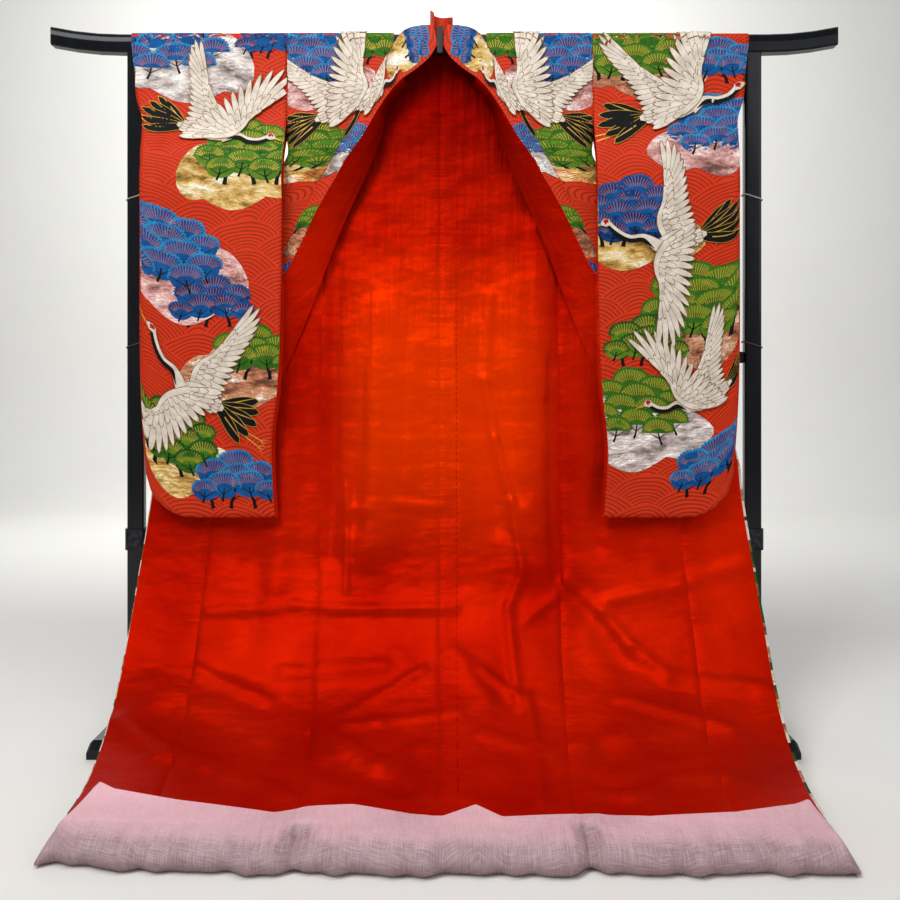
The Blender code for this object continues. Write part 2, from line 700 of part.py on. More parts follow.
def build_stand(lacquer, brass, cords, clip):
    """The kimono stand: a long bar with raised ends on two posts, each on its own foot."""
    stations = [-BAR_HALF, -BAR_HALF + BAR_RISE_RUN / 3, -BAR_HALF + BAR_RISE_RUN * 2 / 3]
    stations.append(-BAR_HALF + BAR_RISE_RUN)
    stations += [-x for x in reversed(stations)]
    loops = []
    for x in stations:
        beyond = max(0.0, abs(x) - (BAR_HALF - BAR_RISE_RUN)) / BAR_RISE_RUN
        rise = BAR_RISE * beyond**2
        lean = math.copysign(BAR_END_LEAN, x) if beyond == 1.0 else 0.0
        half, cut = BAR_DEEP / 2, BAR_CHAMFER
        top, low = BAR_TOP + rise, BAR_TOP - BAR_TALL + rise
        outline = [(half, low + cut), (half, top - cut), (half - cut, top), (-half + cut, top),
                   (-half, top - cut), (-half, low + cut), (-half + cut, low),
                   (half - cut, low)]
        loops.append([(x - (lean if z < BAR_TOP else 0.0), y, z) for y, z in outline])
    loft("top_bar", loops, lacquer, 30.0)
    post_low = FOOT_TALL + BOSS_TALL + CONTACT
    post_high = BAR_TOP - BAR_TALL - CONTACT
    shape = rounded_box_outline(POST_WIDE, POST_DEEP, POST_ROUND)
    for side, sign in SIDES.items():
        middle = sign * POST_X
        loft(f"post_{side}", [[(middle + x, y, z) for x, y in shape]
                              for z in (post_low, post_high)], lacquer, 30.0)
        build_foot(side, middle, lacquer)
        build_ferrule(side, middle, brass)
        for colour, height in CORD_TIES.items():
            build_tie(f"tie_{colour}_{side}", middle, sign, height, cords[colour])
    reach = POST_X - POST_WIDE / 2 - CONTACT
    half, tall = RAIL_DEEP / 2, RAIL_TALL / 2
    outline = [(half, -tall), (half, tall), (-half, tall), (-half, -tall)]
    rail = loft("mid_rail", [[(x, y, RAIL_Z + z) for y, z in outline]
                             for x in (-reach, reach)], lacquer, 30.0)
    soften(rail, RAIL_BEVEL)
    outline = rounded_box_outline(CLIP_WIDE, CLIP_DEEP, CLIP_ROUND, 2)
    loft("neck_clip", [[(GARMENT_X + x, CLIP_Y + y, z) for x, y in outline]
                       for z in (CLIP_LOW, CLIP_LOW + CLIP_TALL)], clip, 30.0)


def soften(body, width):
    bevel = body.modifiers.new("edges", "BEVEL")
    bevel.width = width
    bevel.segments = 1
    bevel.limit_method = "ANGLE"


def build_foot(side, middle, lacquer):
    """A long low foot under one post, with a raised block that the post stands on."""
    wide, cut, half = FOOT_WIDE / 2, FOOT_BEVEL, FOOT_LONG / 2
    stations = [(-half, FOOT_TALL - FOOT_TIP_DROP), (-half + FOOT_TIP_RUN, FOOT_TALL),
                (-BOSS_HALF - BOSS_SLOPE, FOOT_TALL), (-BOSS_HALF, FOOT_TALL + BOSS_TALL)]
    stations += [(-y, z) for y, z in reversed(stations)]
    loops = []
    for y, top in stations:
        loops.append([(middle - wide, y, 0.0), (middle + wide, y, 0.0),
                      (middle + wide, y, top - cut), (middle + wide - cut, y, top),
                      (middle - wide + cut, y, top), (middle - wide, y, top - cut)])
    loft(f"foot_{side}", loops, lacquer, 20.0)


def build_ferrule(side, middle, brass):
    """The joint sleeve of one post."""
    inside = rounded_box_outline(POST_WIDE + 2 * CONTACT, POST_DEEP + 2 * CONTACT,
                                 POST_ROUND + CONTACT)
    grown = 2 * (CONTACT + FERRULE_WALL)
    outside = rounded_box_outline(POST_WIDE + grown, POST_DEEP + grown, POST_ROUND + grown / 2)
    low, high = FERRULE_Z, FERRULE_Z + FERRULE_TALL
    loops = []
    for k in range(len(inside)):
        loops.append([(middle + inside[k][0], inside[k][1], low),
                      (middle + outside[k][0], outside[k][1], low),
                      (middle + outside[k][0], outside[k][1], high),
                      (middle + inside[k][0], inside[k][1], high)])
    ring_solid(f"ferrule_{side}", loops, brass, 30.0)


def build_tie(name, middle, sign, height, material):
    """A thin cord tied round a post, a little lower on its inner side."""
    grown = 2 * CONTACT + CORD_THICK
    path = rounded_box_outline(POST_WIDE + grown, POST_DEEP + grown, POST_ROUND + grown / 2)
    loops = []
    for index, (x, y) in enumerate(path):
        before, after = path[index - 1], path[(index + 1) % len(path)]
        out_x, out_y = after[1] - before[1], before[0] - after[0]
        size = math.hypot(out_x, out_y)
        out_x, out_y = out_x / size, out_y / size
        z = height - sign * x / POST_WIDE * CORD_SLANT
        loop = []
        for step in range(CORD_SIDES):
            angle = math.tau * step / CORD_SIDES
            away, up = CORD_THICK / 2 * math.cos(angle), CORD_THICK / 2 * math.sin(angle)
            loop.append((middle + x + out_x * away, y + out_y * away, z + up))
        loops.append(loop)
    ring_solid(name, loops, material, 60.0)


def build():
    clear_scene()
    lacquer = finish("black_lacquer", (0.006, 0.007, 0.010), 0.12)
    brass = finish("dark_metal", (0.03, 0.03, 0.035), 0.3, 0.8)
    brocade = finish("brocade", (0.62, 0.06, 0.012), 0.45)
    silk = finish("red_silk", (0.56, 0.015, 0.002), 0.35)
    gauze = finish("white_gauze", (0.72, 0.48, 0.52), 0.8)
    white_cord = finish("white_cord", (0.55, 0.54, 0.52), 0.7)
    purple_cord = finish("purple_cord", (0.10, 0.02, 0.04), 0.7)
    clip = finish("black_clip", (0.01, 0.01, 0.01), 0.4)
    build_stand(lacquer, brass, {"white": white_cord, "purple": purple_cord}, clip)
    for side in SIDES:
        build_body(side, brocade, silk)
        build_sleeve(side, brocade)
    build_neck(brocade)
    build_hem(silk, gauze)


build()
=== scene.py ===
import math
import random

import bmesh
import bpy
import numpy as np
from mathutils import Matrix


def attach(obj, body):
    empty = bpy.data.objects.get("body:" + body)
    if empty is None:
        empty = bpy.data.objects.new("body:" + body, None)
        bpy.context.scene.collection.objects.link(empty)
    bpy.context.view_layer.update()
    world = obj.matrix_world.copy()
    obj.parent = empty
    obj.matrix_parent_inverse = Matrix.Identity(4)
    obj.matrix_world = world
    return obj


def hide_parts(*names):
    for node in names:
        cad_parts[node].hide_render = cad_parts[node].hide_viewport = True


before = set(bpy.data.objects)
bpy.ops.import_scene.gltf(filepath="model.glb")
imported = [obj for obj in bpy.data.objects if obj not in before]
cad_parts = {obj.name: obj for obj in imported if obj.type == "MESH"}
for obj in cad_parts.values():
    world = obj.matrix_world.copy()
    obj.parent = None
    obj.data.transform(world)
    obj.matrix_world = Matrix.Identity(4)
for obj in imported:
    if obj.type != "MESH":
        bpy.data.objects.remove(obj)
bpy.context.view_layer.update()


def metres(rows):
    """A table written in millimetres."""
    return [tuple(value / 1000 for value in row) for row in rows]


# Where things stand.
STAND_Y = 0.217
GARMENT_X = -0.009
SIDES = {"left": -1, "right": 1}

# The camera at the photograph's place: 2 m in front of the stand.
CAMERA = (0.012, STAND_Y - 2.0, 0.72)
CAMERA_LENS = 37.56
CAMERA_SHIFT_Y = -0.0778

# Cloth sizes.
CELL = 0.008
OVER_BAR_CELL = 0.003
FRONT_CELLS = 34
OKUMI_CELLS = 16
SLEEVE_CELLS = 40
ROUNDING = 1e-9
BAR_TOP = 1.4520
BODY_HALF = 0.3215
SIDE_SEAM_TOP = 1.070
LINING = 0.0012
OUTER_START = 0.0013
OUTER_END = 0.0026
SLEEVE_WALL = 0.0016
SLEEVE_BOTTOM = 0.444
SLEEVE_CORNER = 0.085
CUFF_LONG = 0.270
RIM_BULGE = 0.003
FURI_LINING_SHOWS = 0.004
FURI_LINING_TOP = 0.92
OVER_BAR = [(0.0000, BAR_TOP + 0.0003), (0.0117, BAR_TOP + 0.0003), (0.0160, BAR_TOP - 0.0035)]
SHARP = math.radians(60)

# The back: height, depth, and half width at the side seam or armhole.
BACK = metres([
    (1432, 16.5, 321.5), (1370, 17, 321.5), (1290, 13, 321), (1220, 9, 317), (1140, 3, 290),
    (1070, -3, 260), (1005, -9, 250), (940, -15, 248), (900, -18, 248), (865, -21.5, 248),
    (842, -24, 248), (820, -26, 248), (770, -30, 248), (710, -34, 248), (640, -37, 247.5),
    (560, -43, 247), (480, -53, 246.5), (400, -68, 246), (330, -90, 245), (260, -123, 243),
    (200, -165, 240), (150, -215, 238), (112, -275, 234), (84, -340, 230), (64, -405, 225),
    (52, -465, 222), (47, -525, 220), (46.6, -564, 219),
])

# The front where it turns: height, its armhole edge, two guide points and the okumi seam,
# each as x and depth.
FRONT = metres([
    (1432, 321.5, -16.5, 245, -16.5, 170, -16.5, 98, -16.5),
    (1390, 321.5, -18.5, 255, -20, 185, -20, 118, -20),
    (1330, 321.5, -21.5, 270, -27, 210, -28, 150, -27),
    (1270, 321, -25, 290, -34, 235, -36, 180, -33),
    (1235, 320, -25, 306, -40, 250, -42, 197, -35),
    (1205, 316, -20, 320, -44, 272, -48, 212, -36),
    (1175, 308, -14, 345, -34, 315, -52, 229, -37),
    (1145, 297, -9, 380, -14, 360, -52, 245, -38), (1120, 286, -6, 410, -6, 400, -50, 259, -38),
    (1095, 272, -4, 430, -4, 430, -48, 272, -38), (1070, 260, -3, 445, -4, 450, -48, 287, -38),
    (1005, 250, -9, 450, -8, 480, -46, 318, -38), (940, 248, -15, 430, -14, 490, -44, 355, -40),
    (900, 248, -18, 400, -18, 475, -38, 390, -44),
    (865, 248, -21.5, 370, -23, 440, -30, 412, -45),
    (842, 248, -24, 350, -25, 416, -28, 424, -45), (820, 248, -26, 340, -28, 400, -30, 430, -40),
    (770, 248, -30, 320, -31, 390, -33, 445, -37), (710, 248, -34, 320, -35, 390, -36, 457, -37),
])
# The okumi: height, its seam, its front edge, and how far the front edge comes forward.
OKUMI_TOP = 0.820
OKUMI = metres([
    (820, 430, 441, 3), (770, 445, 482, 2.5), (710, 457, 535, 2), (640, 468, 585, 1),
    (560, 480, 606, 0), (480, 485, 612, 0), (400, 488, 620, 0), (330, 490, 626, 0),
    (260, 491, 628, 0), (200, 491, 627, 0), (150, 487, 622, 0), (112, 480, 614, 0),
    (84, 472, 606, 0), (64, 465, 598, 0), (52, 460, 592, 0), (47, 457, 588, 0),
    (46.6, 455, 586, 0),
])
SPREAD = {"left": 0.975, "right": 1.020}
# The collar's turn at the neck: the seam and the edge, each as x, depth and height.
NECK_TURN = metres([
    (14, -20, 1468, 5, -29, 1424), (44, -20, 1466, 22, -30, 1397),
    (75, -18.5, 1457, 50, -31, 1372),
])
# The collar: height of the seam, then the edge's x, depth and height.
COLLAR = metres([
    (1432, 80, -31, 1352), (1390, 101, -33, 1328), (1330, 128, -37, 1288),
    (1270, 150, -42, 1248), (1235, 163, -44, 1226), (1205, 179, -45.5, 1202),
    (1175, 198, -46, 1175), (1145, 214, -46.5, 1145), (1120, 229, -46.5, 1120),
    (1095, 243, -46, 1095), (1070, 257, -45.5, 1070), (1005, 288, -45, 1005),
    (940, 325, -46, 940), (900, 368, -49.5, 900), (865, 407, -51.4, 865),
    (842, 425.5, -51.7, 842), (820, 455, -50.4, 820), (770, 498, -46, 770), (710, 556, -45, 710),
    (640, 606, -44, 640),
])
COLLAR_BULGE = 0.002
COLLAR_CELLS = 8
# Where the collar's inner half ends over the body lining: height, across, depth.
COLLAR_INNER = metres([
    (1344, 69, -20), (1305, 106, -20), (1240, 122, -20), (1200, 136, -20), (1149, 157, -20),
    (1090, 185, -20), (1030, 211, -20.5), (954, 240, -23.5), (910, 256, -25.5),
    (866, 272, -27.5), (824, 288, -30), (776, 308, -33.5), (728, 328, -37),
])
COLLAR_INNER_DROP = 0.010
# The sleeve: height, depths of the front, the back at the furi and the back at the cuff, and
# the inner and outer x.
SLEEVE = metres([
    (1432, -16.5, 16.5, 16.5, 322, 652), (1370, -19.5, 17.5, 17.5, 322, 644),
    (1310, -24, 15, 16.5, 322, 638), (1270, -30, 5, 12, 322, 625),
    (1230, -42, -18, 4, 322.5, 622), (1195, -58, -42, -6, 323.5, 619),
    (1160, -68, -53, -16, 324, 617), (1120, -71, -56, -26, 324, 616),
    (1060, -72, -57, -36, 324, 615), (980, -73, -58, -43, 324.5, 614.5),
    (890, -74, -59, -48, 326, 614), (800, -75, -60.5, -53, 327.5, 613),
    (700, -78, -64, -58, 332, 610), (600, -82, -69, -65, 342, 603),
    (515, -87, -75, -73, 340, 594), (444, -92, -83, -82, 334, 586),
])
# The neck band in plan, front to back to front, from the garment's middle, and its upper edge.
NECK_PLAN = metres([
    (-14, -20), (-20, -5), (-21, 15), (-12, 33), (3, 38), (18, 30), (27, 12), (24, -6),
    (16, -20),
])
NECK_TOPS = (1.494, 1.505, 1.508, 1.507, 1.505, 1.503, 1.497, 1.487, 1.474)
NECK_BOTTOM = 1.4552
NECK_WALL = 0.0020
NECK_CELL = 0.004

# The padded hem and the gauze wrapped round it.
HEM_HALF = 0.603
HEM_SHIFT = 0.012
HEM_FRONT = -0.648
HEM_END_BACK = 0.030
HEM_RIGHT_END_SHARE = 0.1
HEM_DEEP = 0.112
HEM_TALL = 0.0440
HEM_LOW_SHARE = 0.36
HEM_ROUNDNESS = 0.8
HEM_UNDER_INSET = 0.012
HEM_CELLS = 260
HEM_SIDES = 22
# Its waves, as height, radians of wave per metre of run, and start.
HEM_WAVES = ((0.003, 31.0, 0.0), (0.002, 57.0, 1.0))
GAUZE_WAVES = ((0.0026, 96.0, 0.4), (0.0018, 143.0, 2.0))
# The two gathered places.
HEM_PINCH = 0.014
HEM_PINCH_HALF = 0.017
HEM_PINCH_AT = (-0.215, 0.220)
PINCH_RIPPLES = 0.0034
PINCH_REACH = 0.050
PINCH_SPACING = 0.0170
PUCKERS = 110
PAD_HALF = 0.575
PAD_UNDER_GAUZE = 0.002
GAUZE = 0.0010
GAUZE_CLEAR = 0.0003
GAUZE_BACK_IN = 0.012
GAUZE_BRIDGES = 0.007
GAUZE_LIES_OVER = 0.0014
GAUZE_END_BACK = 0.004
GAUZE_ROLL_BACK = 0.006
END_TAPER = 0.022
END_LOW = 0.70
# The gauze's upper edge on the cloth: x from the frame's middle, depth.
GAUZE_EDGE = metres([
    (-620, -440), (-582, -446), (-547, -468), (-430, -502), (-268, -538), (-220, -520),
    (-144, -514), (1, -553), (53, -516), (93, -556), (156, -548), (243, -538), (320, -554),
    (456, -540), (560, -512), (600, -490), (620, -480),
])

# Folds as troughs and ridges, a ridge (+) or trough (-) seen from the front, between two
# points: x0, z0, x1, z1, half width, height. The large ones are those of the solids.
FOLD_FORWARD = 0.6
FOLD_LIFT = 0.8
FOLD_FLOOR_Z = 0.35
FOLDS = metres([
    (-140, 900, -150, 380, 45, 10), (-215, 1000, -225, 420, 30, -8), (60, 960, 110, 300, 35, -6),
    (150, 900, 190, 350, 45, 9), (220, 850, 240, 300, 25, -6), (-560, 200, -250, 100, 45, -16),
    (-240, 150, -50, 90, 45, -14), (120, 120, 260, 80, 45, -12), (250, 180, 560, 110, 45, -14),
    (-480, 360, -120, 340, 35, -6), (260, 340, 600, 240, 40, 9),
])
CREASES = metres([
    (85, 720, 105, 600, 9, 6), (105, 600, 140, 470, 9, 7), (140, 470, 160, 330, 8, 5),
    (160, 330, 128, 265, 9, 5), (128, 265, 140, 120, 9, 4.5), (120, 700, 150, 480, 20, -6),
    (60, 640, 110, 420, 18, -4), (-160, 900, -180, 420, 22, -5), (-105, 860, -120, 400, 26, 5),
    (-60, 800, -75, 500, 14, 3), (-184, 452, -90, 462, 10, 4.5), (-90, 462, -10, 458, 9, 3.5),
    (-468, 257, -300, 268, 11, 5), (-300, 268, -140, 262, 10, 4.5), (-140, 262, 22, 266, 10, 4),
    (245, 315, 312, 260, 12, 6), (312, 260, 364, 200, 12, 7), (364, 200, 431, 157, 12, 6),
    (431, 157, 600, 141, 14, 5), (270, 290, 350, 180, 26, -7), (333, 277, 477, 305, 13, 5),
    (477, 305, 610, 345, 14, 4.5), (-587, 103, -493, 76, 16, 9), (-493, 76, -405, 65, 18, 10),
    (-405, 65, -263, 51, 18, 7), (-500, 110, -330, 80, 30, -9), (-232, 98, -172, 80, 16, 8.5),
    (-172, 80, -107, 65, 16, 9.5), (-107, 65, -41, 80, 15, 7), (-200, 64, -60, 54, 22, -6),
    (70, 90, 177, 76, 16, 7), (177, 76, 251, 84, 14, 7), (240, 51.5, 300, 50, 14, 6),
    (300, 50, 394, 56.5, 16, 7.5), (394, 56.5, 472, 59, 16, 7), (300, 75, 480, 85, 28, -8),
    (-330, 560, -340, 300, 22, 4), (-400, 420, -380, 220, 24, -4), (330, 520, 310, 380, 22, -4),
    (420, 480, 440, 360, 24, 4), (-300, 160, -120, 170, 18, 5), (20, 190, 80, 130, 18, 5),
    (-270, 1060, -250, 760, 16, -3), (200, 1040, 215, 700, 22, 5), (-203, 500, -198, 292, 6, 4),
    (-232, 259, -6, 263, 6, 3.5), (-150, 880, -155, 360, 28, 6), (-236, 960, -236, 360, 15, -6),
    (224, 760, 228, 320, 14, -6), (156, 131, 165, 80, 10, 5), (165, 80, 158, 48, 10, 5),
    (166, 245, 235, 290, 8, 4), (73, 165, 145, 128, 9, 5), (-178, 112, -40, 165, 10, 5),
    (-190, 99, -115, 104, 9, 5.5), (-115, 104, 28, 111.5, 9, 4.5), (-480, 170, -330, 128, 12, 6),
    (330, 130, 520, 98, 12, 6), (20, 860, 40, 420, 12, 3), (95, 900, 85, 720, 10, 3.5),
])
CREASE_GAIN = 1.45
CREASE_MOST = 0.0095
# They fade over this length above the hem, to this share.
CREASE_FADE = 0.05
CREASE_FADE_LEAST = 0.15
# The sleeves' own, on the viewer's left sleeve, from the garment's middle.
SLEEVE_CREASES = metres([
    (340, 1330, 420, 1270, 20, 3), (330, 1240, 600, 1190, 22, 2.5),
    (560, 1400, 600, 1150, 20, -3), (400, 1100, 440, 700, 40, 2.5),
    (540, 1050, 520, 620, 40, -2.5), (350, 640, 500, 560, 30, 2),
])
# Seams of the lining, kept as soft grooves: half width and depth.
GROOVE_HALF = 0.0040
GROOVE_DEEP = 0.0024
# The strip of outer cloth past the lining's front edge.
EDGE_SHOWS = {"left": 0.003, "right": 0.006}
EDGE_FROM_Z = 0.62
EDGE_THREADS = ("cream", "gold", "black", "cream", "copper", "deep_green", "cream", "brown")


def tint(red, green, blue, share=1.0):
    """Linear colour with full alpha from the 0 to 255 values of a picture."""
    shares = [value / 255.0 for value in (red, green, blue)]
    linear = [s / 12.92 if s <= 0.04045 else ((s + 0.055) / 1.055) ** 2.4 for s in shares]
    return (*(value * share for value in linear), 1.0)


RED_SILK = tint(216, 34, 2)
RED_DEEP = tint(172, 14, 1)
# Painted shade up in the neck; also the colour of the darker tacking stitches.
RED_SHADE_AND_TACKS = tint(120, 4, 1)
# Painted shade low down and at the left.
RED_LOW_SHADE = tint(158, 12, 1)
# Painted sheen at mid height.
RED_PAINTED_SHEEN = tint(242, 60, 1)
GROUND_RED = tint(214, 54, 14)
GROUND_DEEP = tint(200, 38, 8)
GROUND_LINE = tint(150, 44, 10)
# The lining's painted sheen at mid height, its tacked line and its puckered seams.
SILK_SHEEN_Z = 0.68
TACK_X = 0.025
TACK_HALF = 0.0010
TACK_TOP = 1.10
TACKS_PER_METRE = 80.0
SEAM_PUCKER = 0.040
# The ground's fans of arcs.
WAVE_RADIUS = 0.092
WAVE_ROWS = 0.36
WAVE_LINES = 12.0
WAVE_LINE_SHARE = 0.34
# The bar's rising ends and the rounding of its upper edge.
BAR_STRAIGHT = 0.683
BAR_END_LONG = 0.150
BAR_END_RISE = 0.016
BAR_ROUND_FROM = 1.434
BAR_ROUND = 14.0
THREADS = {
    # two tints of each thread or foil, roughness, metallic
    "cream": ((196, 184, 168), (226, 216, 202), 0.6, 0.0),
    "brown": ((112, 68, 34), (146, 96, 50), 0.5, 0.35),
    "black": ((5, 4, 5), (14, 12, 13), 0.6, 0.0),
    "crown": ((160, 14, 16), (190, 24, 20), 0.45, 0.0),
    "legs": ((222, 150, 52), (236, 176, 84), 0.35, 0.4),
    "cobalt": ((6, 62, 122), (12, 86, 148), 0.6, 0.0),
    "azure": ((16, 104, 160), (40, 136, 184), 0.6, 0.0),
    "navy": ((6, 38, 92), (10, 58, 116), 0.6, 0.0),
    "copper_line": ((150, 92, 78), (178, 112, 92), 0.5, 0.2),
    "deep_green": ((16, 62, 16), (30, 84, 22), 0.5, 0.0),
    "leaf": ((38, 88, 16), (56, 108, 20), 0.6, 0.0),
    "lime": ((92, 130, 24), (66, 112, 20), 0.6, 0.0),
    "gold_line": ((176, 140, 40), (206, 166, 74), 0.45, 0.3),
    "gold": ((196, 152, 74), (232, 204, 138), 0.30, 0.75),
    "copper": ((176, 112, 80), (214, 158, 120), 0.30, 0.75),
    "pink": ((198, 138, 132), (234, 190, 182), 0.30, 0.70),
    "silver": ((188, 172, 166), (232, 224, 218), 0.30, 0.70),
}
FOILS = ("gold", "copper", "pink", "silver")


class Value:
    """A node's output that can be reckoned with like a number."""

    def __init__(self, nodes, socket):
        self.nodes, self.socket = nodes, socket

    def __add__(self, other):
        return self.nodes.math("ADD", self, other)

    def __sub__(self, other):
        return self.nodes.math("SUBTRACT", self, other)

    def __mul__(self, other):
        return self.nodes.math("MULTIPLY", self, other)

    def __truediv__(self, other):
        return self.nodes.math("DIVIDE", self, other)

    def __lt__(self, other):
        return self.nodes.math("LESS_THAN", self, other)

    def __abs__(self):
        return self.nodes.math("ABSOLUTE", self)


class Nodes:
    """Short helpers that add shader nodes to one material."""

    def __init__(self, name):
        self.material = bpy.data.materials.new(name)
        self.material.use_nodes = True
        self.tree = self.material.node_tree
        self.shader = self.tree.nodes["Principled BSDF"]
        self.place = self.new("TexCoord", {}, "Object")
        self.flat = self.new("TexCoord", {}, "UV")

    def plug(self, socket, value):
        if isinstance(value, Value):
            self.tree.links.new(value.socket, socket)
        else:
            socket.default_value = value

    def new(self, kind, inputs, output=0, **settings):
        """Add a node with its settings and inputs, and give one of its outputs."""
        node = self.tree.nodes.new("ShaderNode" + kind)
        for key, value in settings.items():
            setattr(node, key, value)
        for key, value in inputs.items():
            self.plug(node.inputs[key], value)
        return Value(self, node.outputs[output])

    def math(self, operation, *values):
        return self.new("Math", dict(enumerate(values)), operation=operation)

    def mix(self, share, first, second):
        return self.new("Mix", {0: share, 6: first, 7: second}, 2, data_type="RGBA")

    def axis(self, vector, number):
        return self.new("SeparateXYZ", {0: vector}, number)

    def span(self, value, low, high, first=0.0, last=1.0, **settings):
        """From first at the low value to last at the high one, and level outside them."""
        return self.new("MapRange", {"Value": value, "From Min": low, "From Max": high,
                                     "To Min": first, "To Max": last}, **settings)

    def noise(self, vector, scale, detail=3.0, roughness=0.5, stretch=None, output="Fac"):
        if stretch:
            vector = self.new("Mapping", {"Vector": vector, "Scale": stretch})
        return self.new("TexNoise", {"Vector": vector, "Scale": scale, "Detail": detail,
                                     "Roughness": roughness}, output)

    def ramp(self, share, stops):
        ramp = self.new("ValToRGB", {0: share})
        elements = ramp.socket.node.color_ramp.elements
        for element, (position, _) in zip(elements, (stops[0], stops[-1])):
            element.position = position
        elements[0].color, elements[1].color = stops[0][1], stops[-1][1]
        for position, colour in stops[1:-1]:
            elements.new(position).color = colour
        return ramp

    def bump(self, height, distance, strength=1.0, under=None):
        inputs = {"Height": height, "Distance": distance, "Strength": strength}
        if under:
            inputs["Normal"] = under
        return self.new("Bump", inputs)

    def weave(self, vector, threads_per_metre):
        """A plain weave: threads along both ways of the cloth, as a height from 0 to 1."""
        warp, weft = (self.math("SINE", self.axis(vector, k) * (math.tau * threads_per_metre))
                      for k in (0, 1))
        return self.math("MULTIPLY_ADD", warp * weft, 0.5, 0.5)

    def set(self, **sockets):
        for key, value in sockets.items():
            self.plug(self.shader.inputs[key.replace("_", " ")], value)
        return self.material


def silk_material():
    """The red lining: smooth and rippled, with painted shade up in the neck, low down and at the
    left, and a painted sheen at mid height.
    """
    nodes = Nodes("red_silk")
    flat, across, height = nodes.flat, nodes.axis(nodes.place, 0), nodes.axis(nodes.place, 2)
    broad = nodes.noise(nodes.place, 6.0, 4.0, 0.55, (1.0, 1.0, 0.45))
    colour = nodes.ramp(broad, [(0.32, RED_DEEP), (0.68, RED_SILK)])
    # Painted shade: the lining is darkened up in the neck, where the collar and shoulders shade
    # it.
    high = nodes.span(height, 0.86, 1.34, interpolation_type="SMOOTHSTEP")
    colour = nodes.mix(high, colour, RED_SHADE_AND_TACKS)
    # Painted shade: darker towards the bottom, from 0.6 m down.
    colour = nodes.mix(nodes.span(height, 0.10, 0.60, 0.5, 0.0), colour, RED_LOW_SHADE)
    # Painted sheen: a brighter orange band across the middle of the lining at mid height.
    painted_sheen = nodes.span(abs(height - SILK_SHEEN_Z), 0.08, 0.34, 0.75, 0.0)
    colour = nodes.mix(painted_sheen * nodes.span(abs(across), 0.14, 0.24, 1.0, 0.0), colour, RED_PAINTED_SHEEN)
    # Painted shade: darker towards the left side.
    colour = nodes.mix(nodes.span(across, -0.60, -0.30, 0.6, 0.0), colour, RED_LOW_SHADE)
    dash = nodes.math("FRACT", height * TACKS_PER_METRE) < 0.6
    tacked = (abs(across - TACK_X) < TACK_HALF) * dash * (height < TACK_TOP)
    # The tacked line is real darker stitching, drawn in the painted shade's colour.
    colour = nodes.mix(tacked * 0.6, colour, RED_SHADE_AND_TACKS)
    ripple = nodes.noise(flat, 11.0, 2.0, 0.45, (1.0, 1.8, 1.0))
    streak = nodes.noise(flat, 14.0, 3.0, 0.5, (4.0, 0.35, 1.0))
    pucker = nodes.noise(flat, 16.0, 3.0, 0.6, (0.7, 7.0, 1.0))
    fine = nodes.noise(flat, 50.0, 2.0, 0.5, (1.0, 4.0, 1.0))
    normal = nodes.bump(ripple, 0.014, 0.50)
    normal = nodes.bump(streak * nodes.span(height, 0.30, 0.80), 0.008, 0.35, normal)
    near_seam = nodes.span(nodes.axis(flat, 0), 0.0, SEAM_PUCKER, 1.0, 0.0)
    normal = nodes.bump(pucker * near_seam, 0.004, 0.45, normal)
    normal = nodes.bump(fine, 0.0018, 0.11, normal)
    normal = nodes.bump(nodes.weave(flat, 900.0), 0.0002, 0.5, normal)
    return nodes.set(Base_Color=colour, Metallic=0.4, Roughness=0.38, Specular_IOR_Level=0.0,
                     Normal=normal)


def wave_arcs(nodes, vector):
    """Fans of concentric arcs, each row over the one above: 1 on a line and 0 between."""
    across, up = (nodes.axis(vector, k) / WAVE_RADIUS for k in (0, 1))
    low = nodes.math("CEIL", (up - 1.0) / WAVE_ROWS)
    chosen = taken = 0.0
    for step in (0.0, 1.0, 2.0):
        row = low + step
        along = across + nodes.math("MODULO", abs(row), 2.0)
        dx = along - nodes.math("ROUND", along * 0.5) * 2.0
        dy = up - row * WAVE_ROWS
        distance = nodes.math("SQRT", dx * dx + dy * dy)
        inside = distance < 1.0
        free = inside * nodes.math("SUBTRACT", 1.0, taken)
        chosen = nodes.math("MULTIPLY_ADD", distance, free, chosen)
        taken = nodes.math("MAXIMUM", taken, inside)
    return nodes.math("FRACT", chosen * WAVE_LINES) < WAVE_LINE_SHARE


def ground_material():
    """The brocade's red ground with its fine dark arcs."""
    nodes = Nodes("brocade_ground")
    flat = nodes.flat
    drift = nodes.noise(flat, 9.0, 1.0, output="Color")
    moved = nodes.new("VectorMath", {0: drift, 1: (0.030, 0.030, 0.0), 2: flat},
                      operation="MULTIPLY_ADD")
    line = wave_arcs(nodes, moved)
    colour = nodes.mix(nodes.noise(flat, 14.0, 3.0), GROUND_RED, GROUND_DEEP)
    normal = nodes.bump(line, 0.0005, 0.6)
    normal = nodes.bump(nodes.weave(flat, 700.0), 0.0003, 0.5, normal)
    normal = nodes.bump(nodes.noise(flat, 22.0, 4.0), 0.004, 0.4, normal)
    return nodes.set(Base_Color=nodes.mix(line, colour, GROUND_LINE), Roughness=0.5,
                     Specular_IOR_Level=0.15, Metallic=line * 0.35, Normal=normal)


